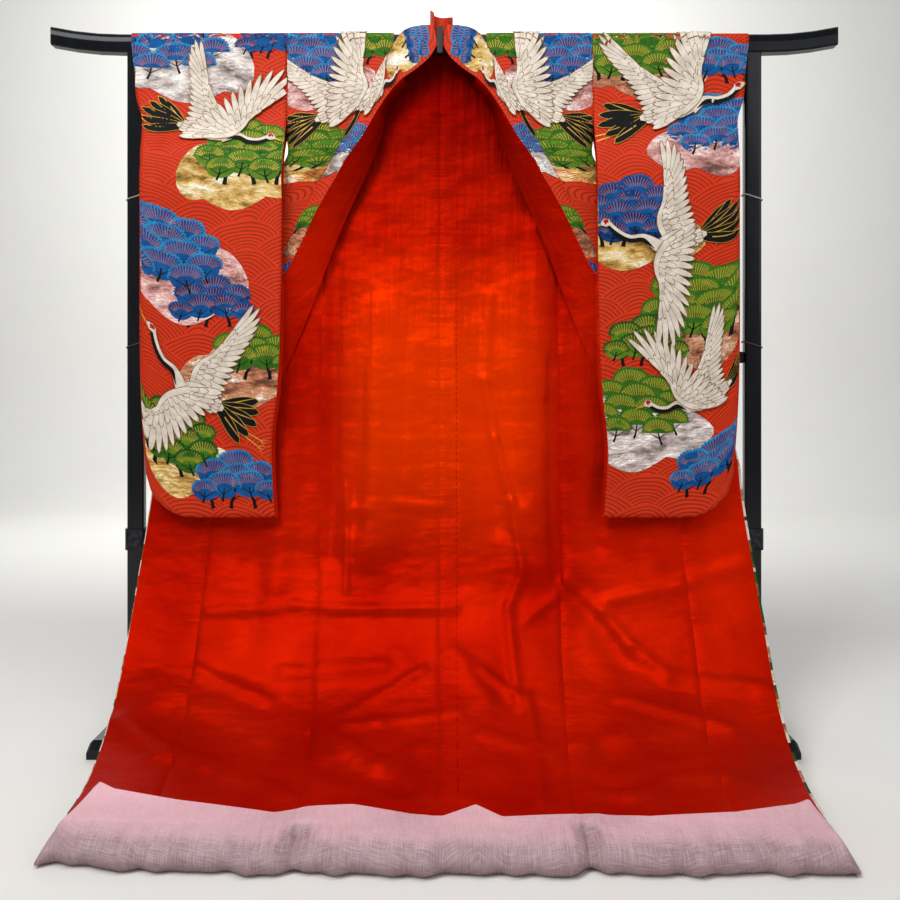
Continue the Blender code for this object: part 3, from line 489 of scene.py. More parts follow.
def thread_material(name):
    """Embroidery thread, or crushed foil whose colour runs from painted shade to painted highlight
    in patches.
    """
    first, second, roughness, metallic = THREADS[name]
    nodes = Nodes(f"thread_{name}")
    foil = name in FOILS
    if foil:
        crush = nodes.noise(nodes.place, 15.0, 6.0, 0.66, (1.0, 1.0, 2.4))
        # Painted light on the foil: the crumples are coloured from a dark painted shade through
        # the foil's own tints to a near-white painted highlight.
        colour = nodes.ramp(crush, [(0.36, tint(*first, 0.30)), (0.46, tint(*first)),
                                    (0.56, tint(*second)), (0.66, (0.95, 0.90, 0.84, 1.0))])
        normal = nodes.bump(crush, 0.020, 0.9)
        normal = nodes.bump(nodes.noise(nodes.place, 90.0, 4.0), 0.0030, 0.6, normal)
    else:
        patches = nodes.noise(nodes.place, 45.0, 4.0, 0.6)
        colour = nodes.ramp(patches, [(0.35, tint(*first)), (0.65, tint(*second))])
        thread = nodes.noise(nodes.place, 500.0, 2.0, stretch=(1.0, 1.0, 3.0))
        normal = nodes.bump(thread, 0.0006, 0.6)
    return nodes.set(Base_Color=colour, Roughness=roughness, Metallic=metallic, Normal=normal,
                     Specular_IOR_Level=0.5 if foil else 0.12)


def gauze_material():
    """Thin white cotton: it lets the red under it through as pink. Painted shade darkens the roll
    low down and a painted highlight brightens its top.
    """
    nodes = Nodes("white_gauze")
    flat, place, height = nodes.flat, nodes.place, nodes.axis(nodes.place, 2)
    mottle = nodes.noise(place, 15.0, 4.0, 0.6, (1.6, 1.0, 1.0))
    colour = nodes.ramp(mottle, [(0.30, tint(158, 126, 132)), (0.72, tint(196, 168, 173))])
    threads = nodes.noise(flat, 1.0, 2.0, 0.7, (26.0, 900.0, 1.0))
    threads = (threads + nodes.noise(flat, 1.0, 2.0, 0.7, (900.0, 26.0, 1.0))) * 0.5
    slub = nodes.ramp(threads, [(0.42, tint(142, 108, 116)), (0.58, tint(222, 198, 200))])
    colour = nodes.mix(0.50, colour, slub)
    # Painted shade: greyer and darker low on the roll's front.
    shaded = nodes.mix(0.42, colour, tint(126, 104, 106))
    colour = nodes.mix(nodes.span(height, 0.002, 0.040), shaded, colour)
    # Painted highlight: a brighter pink along the top of the roll.
    bright = nodes.mix(0.85, colour, tint(252, 202, 212))
    colour = nodes.mix(nodes.span(height, 0.040, 0.052), colour, bright)
    normal = nodes.bump(nodes.noise(place, 24.0, 5.0, 0.6, (2.2, 0.6, 0.6)), 0.008, 0.6)
    normal = nodes.bump(threads, 0.0016, 0.8, normal)
    return nodes.set(Base_Color=colour, Roughness=0.9, Specular_IOR_Level=0.1, Normal=normal)


def lacquer_material(name, rounded):
    """Gloss black lacquer. The bar's upper edge is rounded along its rising ends."""
    nodes = Nodes(name)
    streak = nodes.noise(nodes.place, 60.0, 4.0, stretch=(1.0, 1.0, 0.15))
    colour = nodes.ramp(streak, [(0.3, (0.0030, 0.0034, 0.0048, 1.0)),
                                 (0.8, (0.007, 0.008, 0.011, 1.0))])
    rough = nodes.math("MULTIPLY_ADD", nodes.noise(nodes.place, 35.0, 4.0), 0.10, 0.07)
    normal = nodes.bump(nodes.noise(nodes.place, 18.0, 2.0), 0.0006, 0.15)
    if rounded:
        spot = nodes.new("NewGeometry", {}, "Position")
        end = nodes.math("MAXIMUM", abs(nodes.axis(spot, 0)) - BAR_STRAIGHT, 0.0) / BAR_END_LONG
        level = nodes.axis(spot, 2) - end * end * BAR_END_RISE
        up = nodes.math("MAXIMUM", level - BAR_ROUND_FROM, 0.0)
        normal = nodes.bump(up * up * -BAR_ROUND, 1.0, 1.0, normal)
    return nodes.set(Base_Color=colour, Roughness=rough, Normal=normal,
                     Specular_IOR_Level=0.14 if rounded else 0.3)


def metal_material():
    nodes = Nodes("dark_metal")
    worn = nodes.noise(nodes.place, 90.0, 4.0)
    colour = nodes.ramp(worn, [(0.35, (0.015, 0.015, 0.018, 1.0)),
                               (0.75, (0.06, 0.06, 0.065, 1.0))])
    rough = nodes.math("MULTIPLY_ADD", worn, 0.25, 0.22)
    return nodes.set(Base_Color=colour, Roughness=rough, Metallic=0.9)


def cord_material(name, first, second):
    nodes = Nodes(name)
    along = nodes.new("Mapping", {"Vector": nodes.place, "Scale": (1.0, 1.0, 0.6)})
    twist = nodes.new("TexWave", {"Vector": along, "Scale": 420.0}, "Fac")
    return nodes.set(Base_Color=nodes.mix(twist, tint(*first), tint(*second)), Roughness=0.75,
                     Sheen_Weight=0.3, Normal=nodes.bump(twist, 0.0004, 0.8))


def clip_material():
    nodes = Nodes("black_clip")
    grain = nodes.noise(nodes.place, 900.0, 2.0)
    colour = nodes.ramp(grain, [(0.3, (0.006, 0.006, 0.006, 1.0)),
                                (0.8, (0.016, 0.016, 0.016, 1.0))])
    return nodes.set(Base_Color=colour, Roughness=0.4, Normal=nodes.bump(grain, 0.0002, 0.4))


def stage_material():
    nodes = Nodes("backdrop")
    colour = nodes.mix(nodes.noise(nodes.place, 3.0, 5.0), tint(236, 235, 231, 0.96),
                       tint(236, 235, 231))
    return nodes.set(Base_Color=colour, Roughness=0.9, Specular_IOR_Level=0.2,
                     Normal=nodes.bump(nodes.noise(nodes.place, 240.0, 2.0), 0.0006, 0.3))


def place(side, x, y, z):
    return (GARMENT_X + SIDES[side] * x, STAND_Y + y, z)


def resample(values, at, wanted):
    """Smooth curve through values known at the distances in at, read at the wanted ones."""
    values, at = np.asarray(values, float), np.asarray(at, float)
    shape = (-1,) + (1,) * (values.ndim - 1)
    steps = np.diff(at).reshape(shape)
    slopes = np.diff(values, axis=0) / steps
    inner = (slopes[:-1] * steps[1:] + slopes[1:] * steps[:-1]) / (steps[:-1] + steps[1:])
    tangents = np.concatenate([slopes[:1], inner, slopes[-1:]])
    index = np.clip(np.searchsorted(at, wanted, side="right") - 1, 0, len(at) - 2)
    width = (at[index + 1] - at[index]).reshape(shape)
    t = ((wanted - at[index]).reshape(shape)) / width
    first, second = values[index], values[index + 1]
    return ((2 * t**3 - 3 * t**2 + 1) * first + (t**3 - 2 * t**2 + t) * width * tangents[index]
            + (3 * t**2 - 2 * t**3) * second + (t**3 - t**2) * width * tangents[index + 1])


def run_lengths(line):
    """Distance along a line of points."""
    return np.concatenate([[0.0], np.cumsum(np.linalg.norm(np.diff(line, axis=0), axis=1))])


def even_steps(length, cell):
    return np.linspace(0.0, length, max(2, int(round(length / cell)) + 1))


def unit(vectors):
    return vectors / np.linalg.norm(vectors, axis=-1, keepdims=True)


BACK_LINE = np.array(OVER_BAR + [(y, z) for z, y, _ in BACK])
BACK_AT = run_lengths(BACK_LINE)
FINE_AT = even_steps(BACK_AT[-1], CELL)
BACK_FINE = resample(BACK_LINE, BACK_AT, FINE_AT)
FINE_Z = BACK_FINE[:, 1]


def fine_rows(coarse, first=0):
    """Rows of a body piece at the garment's own fine spacing, from its first table row on."""
    at = BACK_AT[first:first + len(coarse)]
    wanted = FINE_AT[(FINE_AT >= at[0] - ROUNDING) & (FINE_AT <= at[-1] + ROUNDING)]
    return resample(np.array(coarse), at, wanted)


def crease_depths(x, down, table):
    """How far each point stands proud for a table of folds, given in the same two lengths."""
    height = np.zeros(x.shape)
    for x0, down0, x1, down1, half, rise in table:
        run_x, run_down = x1 - x0, down1 - down0
        along = ((x - x0) * run_x + (down - down0) * run_down) / (run_x**2 + run_down**2)
        along = np.clip(along, 0.0, 1.0)
        away = np.hypot(x - x0 - along * run_x, down - down0 - along * run_down)
        height += rise * np.exp(-((away / half) ** 2))
    return height


def length_down(z):
    """Length down the back for a height."""
    return float(np.interp(z, BACK_LINE[::-1, 1], BACK_AT[::-1]))


LONG_CREASES = [(x0, length_down(z0), x1, length_down(z1), half, rise)
                for x0, z0, x1, z1, half, rise in CREASES]


def add_folds(grid, first=0):
    """Press the large folds of the solid, then the finer creases, into a body piece."""
    away = crease_depths(grid[..., 0], grid[..., 2], FOLDS)
    grid[..., 1] -= away * FOLD_FORWARD
    grid[..., 2] += away * FOLD_LIFT * np.clip(1.0 - grid[..., 2] / FOLD_FLOOR_Z, 0.0, None)
    start = len(FINE_AT) - len(grid) if first else 0
    own = slice(start, start + len(grid))
    down = np.repeat(FINE_AT[own, None], grid.shape[1], axis=1)
    finer = crease_depths(grid[..., 0], down, LONG_CREASES) * CREASE_GAIN
    finer = CREASE_MOST * np.tanh(finer / CREASE_MOST)
    finer *= np.clip((FINE_AT[-1] - down) / CREASE_FADE, CREASE_FADE_LEAST, 1.0)
    slope = unit(np.gradient(BACK_FINE, axis=0))[own, None]
    grid[..., 1] += slope[..., 1] * finer
    grid[..., 2] -= slope[..., 0] * finer
    return grid


def back_grid(side):
    shares = np.linspace(0.0, 1.0, int(round(BODY_HALF / CELL)) + 1)
    lines = [(y, z, BODY_HALF) for y, z in OVER_BAR] + [(y, z, half) for z, y, half in BACK]
    return add_folds(fine_rows([[place(side, half * s, y, z) for s in shares]
                                for y, z, half in lines]))


def curve_in_plan(guides, shares):
    t = np.asarray(shares)[:, None]
    a, b, c, d = np.array(guides)
    return (1 - t)**3 * a + 3 * t * (1 - t)**2 * b + 3 * t * t * (1 - t) * c + t**3 * d


def front_grid(side):
    shares = np.linspace(0.0, 1.0, FRONT_CELLS + 1)
    inner = FRONT[0][-2]
    rows = [[place(side, BODY_HALF + (inner - BODY_HALF) * s, -y, z) for s in shares]
            for y, z in OVER_BAR]
    at = list(BACK_AT[:len(OVER_BAR)])
    seams = {row[0]: row[1] for row in OKUMI}
    turned = {row[0]: row[1:] for row in FRONT}
    backs = {z: (y, half) for z, y, half in BACK}
    heights = [z for z, _, _ in BACK]
    for z in sorted(set(turned) | {z for z in backs if z < FRONT[-1][0]}, reverse=True):
        if z in turned:
            guides = [list(turned[z][k:k + 2]) for k in (0, 2, 4, 6)]
            if z <= OKUMI_TOP:
                guides[3][0] *= SPREAD[side]
            rows.append([place(side, x, y, z) for x, y in curve_in_plan(guides, shares)])
        else:
            y, half = backs[z]
            reach = seams[z] * SPREAD[side] - half
            rows.append([place(side, half + reach * s, y, z) for s in shares])
        at.append(float(np.interp(z, heights[::-1], BACK_AT[:len(OVER_BAR) - 1:-1])))
    return add_folds(resample(np.array(rows), np.array(at), FINE_AT))


def okumi_grid(side):
    depths = {**{z: y for z, y, _ in BACK}, **{row[0]: row[-1] for row in FRONT}}
    shares = np.linspace(0.0, 1.0, OKUMI_CELLS + 1)
    rows = [[place(side, (seam + (edge - seam) * s) * SPREAD[side], depths[z] - forward * s, z)
             for s in shares] for z, seam, edge, forward in OKUMI]
    first = len(OVER_BAR) + [z for z, _, _ in BACK].index(OKUMI_TOP)
    return add_folds(fine_rows(rows, first), first)


def grid_normals(grid, sign):
    return unit(np.cross(np.gradient(grid, axis=0), np.gradient(grid, axis=1)) * sign)


def grid_quads(rows, columns):
    """Numbers of a grid's points, and its faces."""
    index = np.arange(rows * columns).reshape(rows, columns)
    quads = np.stack([index[:-1, :-1], index[:-1, 1:], index[1:, 1:], index[1:, :-1]], axis=-1)
    return index, quads.reshape(-1, 4)


def groove(grid, normals, column):
    """Press the cloth in along a seam on one of its side edges."""
    widths = np.linalg.norm(grid - grid[:, [column]], axis=2)
    grid += normals * (GROOVE_DEEP * np.exp(-((widths / GROOVE_HALF) ** 2)))[..., None]


def share_normals(first, second):
    first[:] = second[:] = unit(first + second)


class Surface:
    """A grid of points with flat coordinates: metres across from column 0 and down from row 0."""

    def __init__(self, grid, normals, out=0.0):
        self.grid, self.normals, self.out = grid, normals, out
        widths = np.linalg.norm(np.diff(grid, axis=1), axis=2)
        self.across = np.concatenate([np.zeros((len(grid), 1)), np.cumsum(widths, axis=1)], axis=1)
        self.widths = self.across[:, -1]
        self.down = run_lengths(grid[:, grid.shape[1] // 2])

    def flat(self):
        up = np.repeat(-self.down[:, None], self.grid.shape[1], axis=1)
        return np.stack([self.across, up], axis=2)

    def locate(self, points, lift):
        """Places in space of flat points, each lifted off the cloth by its own amount."""
        rows, columns = self.grid.shape[:2]
        row = np.interp(points[:, 1], self.down, np.arange(rows))
        width = np.interp(row, np.arange(rows), self.widths)
        column = np.clip(points[:, 0] / width, 0.0, 1.0) * (columns - 1)
        r0 = np.clip(np.floor(row).astype(int), 0, rows - 2)
        c0 = np.clip(np.floor(column).astype(int), 0, columns - 2)
        fr, fc = (row - r0)[:, None], (column - c0)[:, None]

        def blend(values):
            top = values[r0, c0] * (1 - fc) + values[r0, c0 + 1] * fc
            low = values[r0 + 1, c0] * (1 - fc) + values[r0 + 1, c0 + 1] * fc
            return top * (1 - fr) + low * fr

        return blend(self.grid) + unit(blend(self.normals)) * (self.out + lift)[:, None]


def add_object(name, data):
    piece = bpy.data.objects.new(name, data)
    bpy.context.collection.objects.link(piece)
    return piece


def make_object(name, points, faces, materials, uvs=None, indices=None):
    mesh = bpy.data.meshes.new(name)
    mesh.from_pydata(np.asarray(points).tolist(), [], [list(map(int, face)) for face in faces])
    for material in materials:
        mesh.materials.append(material)
    if indices is not None:
        mesh.polygons.foreach_set("material_index", np.asarray(indices, dtype=np.int32))
    if uvs is not None:
        layer = mesh.uv_layers.new(name="flat")
        corners = np.zeros(len(mesh.loops), dtype=np.int32)
        mesh.loops.foreach_get("vertex_index", corners)
        layer.data.foreach_set("uv", np.asarray(uvs)[corners].astype(np.float32).ravel())
    mesh.shade_smooth()
    piece = add_object(name, mesh)
    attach(piece, "root")
    return piece


def turn_outwards(piece):
    edit = bmesh.new()
    edit.from_mesh(piece.data)
    bmesh.ops.recalc_face_normals(edit, faces=edit.faces)
    edit.to_mesh(piece.data)
    edit.free()


def shell(looks, node, slot, grid, normals, inner, outer):
    """A closed thin shell on a grid, from one distance out of it to another."""
    index, quads = grid_quads(*grid.shape[:2])
    points = np.concatenate([(grid + normals * inner).reshape(-1, 3),
                             (grid + normals * outer).reshape(-1, 3)])
    edge = np.concatenate([index[0], index[1:, -1], index[-1, -2::-1], index[-2:0:-1, 0]])
    after = np.roll(edge, -1)
    rim = np.stack([edge, after, after + index.size, edge + index.size], axis=-1)
    faces = np.concatenate([quads[:, ::-1], quads + index.size, rim[:, ::-1]])
    uvs = np.concatenate([Surface(grid, normals).flat().reshape(-1, 2)] * 2)
    piece = make_object(f"{node}_cloth", points, faces, [looks[slot]], uvs)
    turn_outwards(piece)
    piece.data.set_sharp_from_angle(angle=SHARP)
    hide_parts(node)


# Painting flat shapes on cloth. Each kind of motif starts at its own height over the ground.
LEVELS = {"foil": 0.00042, "trunk": 0.00055, "pine": 0.00065, "crane": 0.00130}
TILT = 0.00022
EDGE_UNDER = 0.00007
EDGE_MARGIN = 0.0002
OUTWARD_PROBE = 0.01


class Canvas:
    """Thin flat shapes gathered for one or more cloth surfaces, in their own flat metres."""

    def __init__(self):
        self.points, self.faces, self.colours, self.lifts = [], [], [], []
        self.count = 0
        self.level = 0.0

    def strip(self, first, second, colour, across=1, tilts=(0.0, 0.0)):
        """Fill between two lines that have the same number of points, each at its own height."""
        shares = np.linspace(0.0, 1.0, across + 1)[:, None, None]
        points = first[None] * (1 - shares) + second[None] * shares
        rows, columns = points.shape[:2]
        lifts = self.level + tilts[0] * (1 - shares[:, :, 0]) + tilts[1] * shares[:, :, 0]
        quads = self.count + grid_quads(rows, columns)[1]
        faces = np.concatenate([quads[:, [0, 1, 2]], quads[:, [0, 2, 3]]])
        self.points.append(points.reshape(-1, 2))
        self.faces.append(faces)
        self.colours += [colour] * len(faces)
        self.lifts.append(np.repeat(lifts, columns, axis=1).ravel())
        self.count += rows * columns

    def finish(self, surfaces, materials):
        """Make one thin piece for each surface that the shapes touch."""
        points, faces = np.concatenate(self.points), np.concatenate(self.faces)
        lifts, colours = np.concatenate(self.lifts), np.array(self.colours)
        for name, (surface, mirror) in surfaces.items():
            here = points * (mirror, 1.0)
            top, bottom = surface.down[0], surface.down[-1]
            across, down = here[faces].mean(axis=1).T
            inside = (across > 0) & (across < np.interp(down, surface.down, surface.widths))
            inside &= (down > top) & (down < bottom)
            if not inside.any():
                continue
            kept = faces[inside]
            used, compact = np.unique(kept, return_inverse=True)
            limits = np.interp(here[used, 1], surface.down, surface.widths)
            flat = here[used].copy()
            flat[:, 0] = np.clip(flat[:, 0], EDGE_MARGIN, limits - EDGE_MARGIN)
            flat[:, 1] = np.clip(flat[:, 1], top + EDGE_MARGIN, bottom - EDGE_MARGIN)
            space = surface.locate(flat, lifts[used])
            names, indices = np.unique(colours[inside], return_inverse=True)
            triangles = compact.reshape(-1, 3)
            corners = space[triangles]
            facing = np.cross(corners[:, 1] - corners[:, 0], corners[:, 2] - corners[:, 0])
            probe = surface.locate(here[kept].mean(axis=1), np.full(len(kept), OUTWARD_PROBE))
            flipped = (facing * (probe - corners.mean(axis=1))).sum(axis=1) < 0
            triangles[flipped] = triangles[flipped][:, ::-1]
            piece = make_object(f"art_{name}", space, triangles,
                                [materials[colour] for colour in names], flat, indices)


def rotated(points, angle):
    cosine, sine = math.cos(angle), math.sin(angle)
    return np.stack([points[:, 0] * cosine - points[:, 1] * sine,
                     points[:, 0] * sine + points[:, 1] * cosine], axis=1)


class Pen:
    """Draws local shapes on a canvas: x along its angle, y up the cloth."""

    def __init__(self, canvas, kind, at, size, angle=0.0, flip=1):
        self.canvas, self.at, self.size = canvas, np.array(at), size
        self.angle, self.flip = math.radians(angle), flip
        canvas.level = LEVELS[kind]

    def raise_by(self, amount):
        self.canvas.level += amount

    def fill(self, first, second, colour, across=1, tilts=(0.0, 0.0)):
        lines = [self.at + rotated(np.asarray(line, float) * self.size * (self.flip, 1),
                                   self.angle) * (1, -1) for line in (first, second)]
        self.canvas.strip(*lines, colour, across, tilts)

    def fill_round(self, middle, half, colour, across=1, tilts=(0.0, 0.0)):
        """Fill round a middle line, to a half width on either side of it."""
        up = np.stack([np.zeros(len(half)), half], axis=1)
        self.fill(middle + up, middle - up, colour, across, tilts)

    def stroke(self, line, widths, colour, steps=10):
        """A tapering line through a few points."""
        line = np.asarray(line, float)
        at = run_lengths(line)
        wanted = np.linspace(0.0, at[-1], steps + 1)
        middle = resample(line, at, wanted) if len(line) > 2 else np.stack(
            [np.interp(wanted, at, line[:, k]) for k in (0, 1)], axis=1)
        half = np.interp(wanted, np.linspace(0.0, at[-1], len(widths)), widths) / 2
        heading = unit(np.gradient(middle, axis=0))
        across = np.stack([-heading[:, 1], heading[:, 0]], axis=1) * half[:, None]
        self.fill(middle + across, middle - across, colour)

    def layers(self, *strokes):
        """Strokes that lie one on another."""
        for stroke in strokes:
            self.stroke(*stroke)
            self.raise_by(EDGE_UNDER)

    def feather(self, root, angle, length, width, colour, edge="brown", tip=0.5, bend=0.0, side=1):
        """One feather with a thin edge line, tucked at one side under the next one."""
        steps = np.linspace(0.0, 1.0, 13)
        body = np.sin(np.pi * np.clip(steps * 0.55 + 0.12, 0, 1)) ** 0.6
        beyond = np.clip((steps - 0.55) / 0.45, 0, 1) ** (3.2 - 2.0 * tip)
        half = width / 2 * body * np.sqrt(np.clip(1.0 - beyond, 0, 1))
        along = np.stack([steps * length, bend * length * steps**2], axis=1)
        tilts = (TILT * max(side, 0), TILT * max(-side, 0))
        rim = EDGE_LINE / self.size
        over = EDGE_UNDER * (2.6 if side == 0 else 1.0)
        for grow, thread in ((rim, edge), (0.0, colour)):
            up = np.stack([np.zeros(len(steps)), half + grow], axis=1)
            line = along * (1.0 + grow / length, 1.0)
            sides = [rotated(points, math.radians(angle)) + root
                     for points in (line + up, line - up)]
            self.fill(*sides, thread, 1, tilts)
            self.raise_by(over if grow else -over)


def draw_wing(pen, root, angle, back, length):
    """A spread wing: its feathers turn from the way of the tail at the body to that of the tip."""
    heading = np.array([math.cos(math.radians(angle)), math.sin(math.radians(angle))])
    side = 1 if back > angle else -1
    ahead = np.array([heading[1], -heading[0]]) * side

    def bone(share):
        bend = math.sin(math.pi * min(1.0, share * 1.15)) * 0.09 + 0.02
        return root + heading * length * 0.52 * share + ahead * length * bend

    # feathers, at the body, at the tip, width, how pointed, how far along the bone
    for number, shortest, longest, width, tip, reach in (
            (17, 0.34, 0.62, 0.062, 0.9, 1.0),
            (13, 0.20, 0.32, 0.050, 0.3, 0.92),
            (11, 0.10, 0.16, 0.042, 0.1, 0.84)):
        for step in range(number):
            share = step / (number - 1)
            turn = angle + (back - angle) * (1.0 - share**1.15) + 6 * side
            size = length * (shortest + (longest - shortest) * share**1.6)
            size *= 1.0 - 0.12 * (share > 0.95) + 0.05 * math.sin(share * 9.0)
            pen.feather(bone(share * reach), turn, size, length * width, "cream",
                        "brown", tip * (0.3 + 0.7 * share), -0.10 * side * share, -side)
        pen.raise_by(TILT)
    line = [bone(share) for share in np.linspace(0.0, 1.0, 7)]
    pen.layers((line, np.array([0.070, 0.070, 0.046, 0.012]) * length, "brown", 14),
               (line, np.array([0.058, 0.058, 0.036, 0.006]) * length, "cream", 14))


def draw_crane(canvas, at, span, angle, flip, far, near, neck):
    """A flying crane. Wing angles are measured from its heading; below 0 they point down."""
    pen = Pen(canvas, "crane", at, span, angle, flip)
    for lower in (0.0, 0.020):
        leg = [(-0.16, -0.015 - lower), (-0.30, -0.045 - lower), (-0.50, -0.060 - 2 * lower)]
        pen.stroke(leg, [0.012, 0.008, 0.006], "legs", 14)
        for toe in (-0.022, 0.0, 0.024):
            pen.stroke([leg[-1], (-0.545, leg[-1][1] - 0.004 + toe)], [0.006, 0.002], "legs", 3)
    pen.raise_by(EDGE_UNDER)
    root = np.array([-0.13, 0.0])
    for number, spread in enumerate((-34, -20, -6, 9, 24)):
        heading = 180 + spread
        length = 0.31 - 0.016 * abs(number - 2)
        pen.feather(root, heading, length, 0.066, "black", "gold_line", 0.8, 0.08, 0)
        pen.raise_by(EDGE_UNDER * 3.6)
        tip = math.radians(heading)
        vein = [root + np.array([math.cos(tip), math.sin(tip)]) * r for r in (0.09, 0.17, 0.26)]
        pen.layers((vein, [0.008, 0.003], "gold_line", 6))
    draw_wing(pen, np.array([0.06, 0.01]), far, math.copysign(TAIL_TURN, far), 0.60)
    steps = np.linspace(0.0, 1.0, 19)
    half = 0.060 * np.sin(np.pi * np.clip(steps, 0.02, 0.98)) ** 0.62
    spine = np.stack([-0.18 + steps * 0.36, 0.012 * np.sin(steps * 3.0)], axis=1)
    pen.fill_round(spine, half + BODY_EDGE_LINE / span, "brown", 4)
    pen.raise_by(EDGE_UNDER)
    pen.fill_round(spine, half, "cream", 4)
    for row in range(3):
        for step in range(4):
            spot = (-0.10 + 0.055 * row, -0.030 + 0.020 * step)
            pen.feather(spot, 178, 0.052, 0.024, "cream", "brown", 0.2)
        pen.raise_by(TILT / 2)
    draw_neck(pen, neck)
    shoulder = np.array([0.07, -0.01 * math.copysign(1, near)])
    draw_wing(pen, shoulder, near, math.copysign(TAIL_TURN, near), 0.64)


def draw_neck(pen, raised):
    """The neck and head: white behind, black along the throat, a red crown and a long bill."""
    line = [(0.14, 0.0), (0.23, 0.030 + 0.05 * raised), (0.31, 0.002 + 0.10 * raised),
            (0.38, -0.004 + 0.17 * raised), (0.43, 0.022 + 0.22 * raised)]
    pen.layers((line, [0.084, 0.056, 0.046, 0.044, 0.044], "brown", 24),
               (line, [0.078, 0.050, 0.040, 0.038, 0.037], "cream", 24))
    throat = [(0.175, -0.006)] + [(x + 0.005, y - 0.013) for x, y in line[1:]]
    pen.stroke(throat, [0.004, 0.028, 0.026, 0.025, 0.018], "black", 20)
    head = np.array(line[-1])
    bill = [head + (0.034, 0.003), head + (0.120, -0.002)]
    skull = [head + (-0.014, 0.0), head + (0.014, 0.006), head + (0.040, 0.004)]
    pen.layers((bill, [0.016, 0.011, 0.002], "gold_line", 6),
               (skull, [0.036, 0.052, 0.022], "cream", 8))
    pen.stroke([head + (-0.010, 0.012), head + (0.024, 0.016)], [0.016, 0.030, 0.012], "crown", 6)
    pen.stroke([head + (0.010, -0.001), head + (0.019, -0.001)], [0.008, 0.008], "black", 3)


def draw_cap(pen, base, wide, tall, tints):
    """One cushion of pine needles: a lobed fan in three bands, with needle lines."""
    turns = np.linspace(-0.14, math.pi + 0.14, CAP_POINTS)
    lobes = 1.0 + 0.10 * np.abs(np.sin(turns * 2.0 + 0.4)) + 0.050 * np.cos(turns * 28.0)
    rim = np.stack([np.cos(turns) * lobes, np.sin(turns) * lobes], axis=1)
    size = np.array([wide / 2, tall])
    foot = np.stack([np.linspace(0.42, -0.42, CAP_POINTS), np.full(CAP_POINTS, -0.16)], axis=1)
    for outer, inner, band in zip(CAP_BANDS, CAP_BANDS[1:], tints):
        lines = [base + (foot + (rim - foot) * share) * size for share in (outer, inner)]
        pen.fill(*lines, band, 1, (TILT * outer, TILT * inner))
    pen.raise_by(EDGE_UNDER)
    count = max(8, int(round(wide * pen.size * NEEDLES_PER_METRE)))
    for turn in np.linspace(0.22, math.pi - 0.22, count):
        end = np.array([math.cos(turn), math.sin(turn)])
        start = np.array([0.42 * math.cos(turn), -0.10 + 0.10 * math.sin(turn)])
        needle = np.array([start + (end - start) * share for share in (0.16, 0.88)]) * size
        heading = unit(needle[1] - needle[0])
        half = np.array([-heading[1], heading[0]]) * NEEDLE_HALF / pen.size
        pen.fill(base + needle + half, base + needle - half, tints[3], 1,
                 (TILT * 0.6, TILT * 0.6))


def draw_pine(canvas, at, width, kind, flip, rows):
    """A spreading pine: branches of needle cushions, over bent black trunks."""
    tints, caps = PINE_TINTS[kind], PINE_CAPS[rows]
    pen = Pen(canvas, "trunk", at, width, 0, flip)
    for foot, lean in ((-0.22, 0.05), (0.08, -0.06), (0.30, 0.04)):
        line = [(foot, -0.26), (foot + lean * 0.3, -0.18), (foot + lean, -0.12),
                (foot + lean * 0.4, 0.0)]
        pen.stroke(line, [0.046, 0.034, 0.030, 0.022], "black", 8)
        for (x, y), sideways, rise in ((line[1], -0.10, 0.05), (line[2], 0.11, 0.06)):
            branch = [(x, y), (x + sideways * 0.6, y + rise * 0.5), (x + sideways, y + rise)]
            pen.stroke(branch, [0.014, 0.010, 0.006], "black", 5)
    pen = Pen(canvas, "pine", at, width, 0, flip)
    turns = np.linspace(0.0, math.pi, 13)
    half = np.stack([np.cos(turns), np.sin(turns)], axis=1)
    for x, y, wide in caps:
        centre, size = np.array([x, y - wide * 0.06]), np.array([wide * 0.50, wide * 0.30])
        pen.fill(centre + half * size, centre + half * size * (1, -1),
                 tints[2] if rows == 2 else tints[1], 3)
    pen.raise_by(EDGE_UNDER)
    for number, (x, y, wide) in enumerate(caps):
        lean = 0.04 if number % 2 else -0.04
        stem = [(x + lean, y - wide * 0.44), (x + lean / 3, y - wide * 0.24), (x, y)]
        pen.stroke(stem, [0.024, 0.016, 0.012], "black", 5)
        for sideways in (-0.09, 0.08):
            pen.stroke([stem[1], (x + sideways, y - wide * 0.08)], [0.010, 0.006], "black", 2)
        draw_cap(pen, np.array([x, y]), wide * 1.10, wide * CAP_TALL, tints)
        pen.raise_by(-EDGE_UNDER / 2)


def draw_foil(canvas, at, width, height, colour, flip, angle):
    """A band of mist in crushed foil: round at one end and drawn out at the other."""
    pen = Pen(canvas, "foil", at, 1.0, angle, flip)
    pen.raise_by(TILT / 2 * FOILS.index(colour))
    steps = np.linspace(0.0, 1.0, max(16, int(width / 0.008)) + 1)
    swell = np.sin(np.pi * np.clip(steps, 0.004, 0.996) ** 0.75) ** 0.55
    turns = steps * math.pi * FOIL_LOBES
    upper = swell * (0.80 + 0.36 * np.abs(np.sin(turns * 0.8 + 0.6))) * height * 0.55
    lower = swell * (0.78 + 0.34 * np.abs(np.sin(turns * 0.7 + 1.9))) * height * 0.5
    x = (steps - 0.5) * width
    drift = 0.05 * height * np.sin(steps * 4.0)
    across = max(3, int(height / 0.009))
    pen.fill(np.stack([x, drift + upper], 1), np.stack([x, drift - lower], 1), colour, across)


TAIL_TURN = 192
EDGE_LINE = 0.0009
BODY_EDGE_LINE = 0.0010
PINE_TINTS = {
    # rim, body, heart, needles
    "blue": ("azure", "cobalt", "cobalt", "copper_line"),
    "blue_deep": ("cobalt", "navy", "cobalt", "copper_line"),
    "green": ("leaf", "lime", "leaf", "gold_line"),
    "green_deep": ("deep_green", "leaf", "lime", "gold_line"),
}
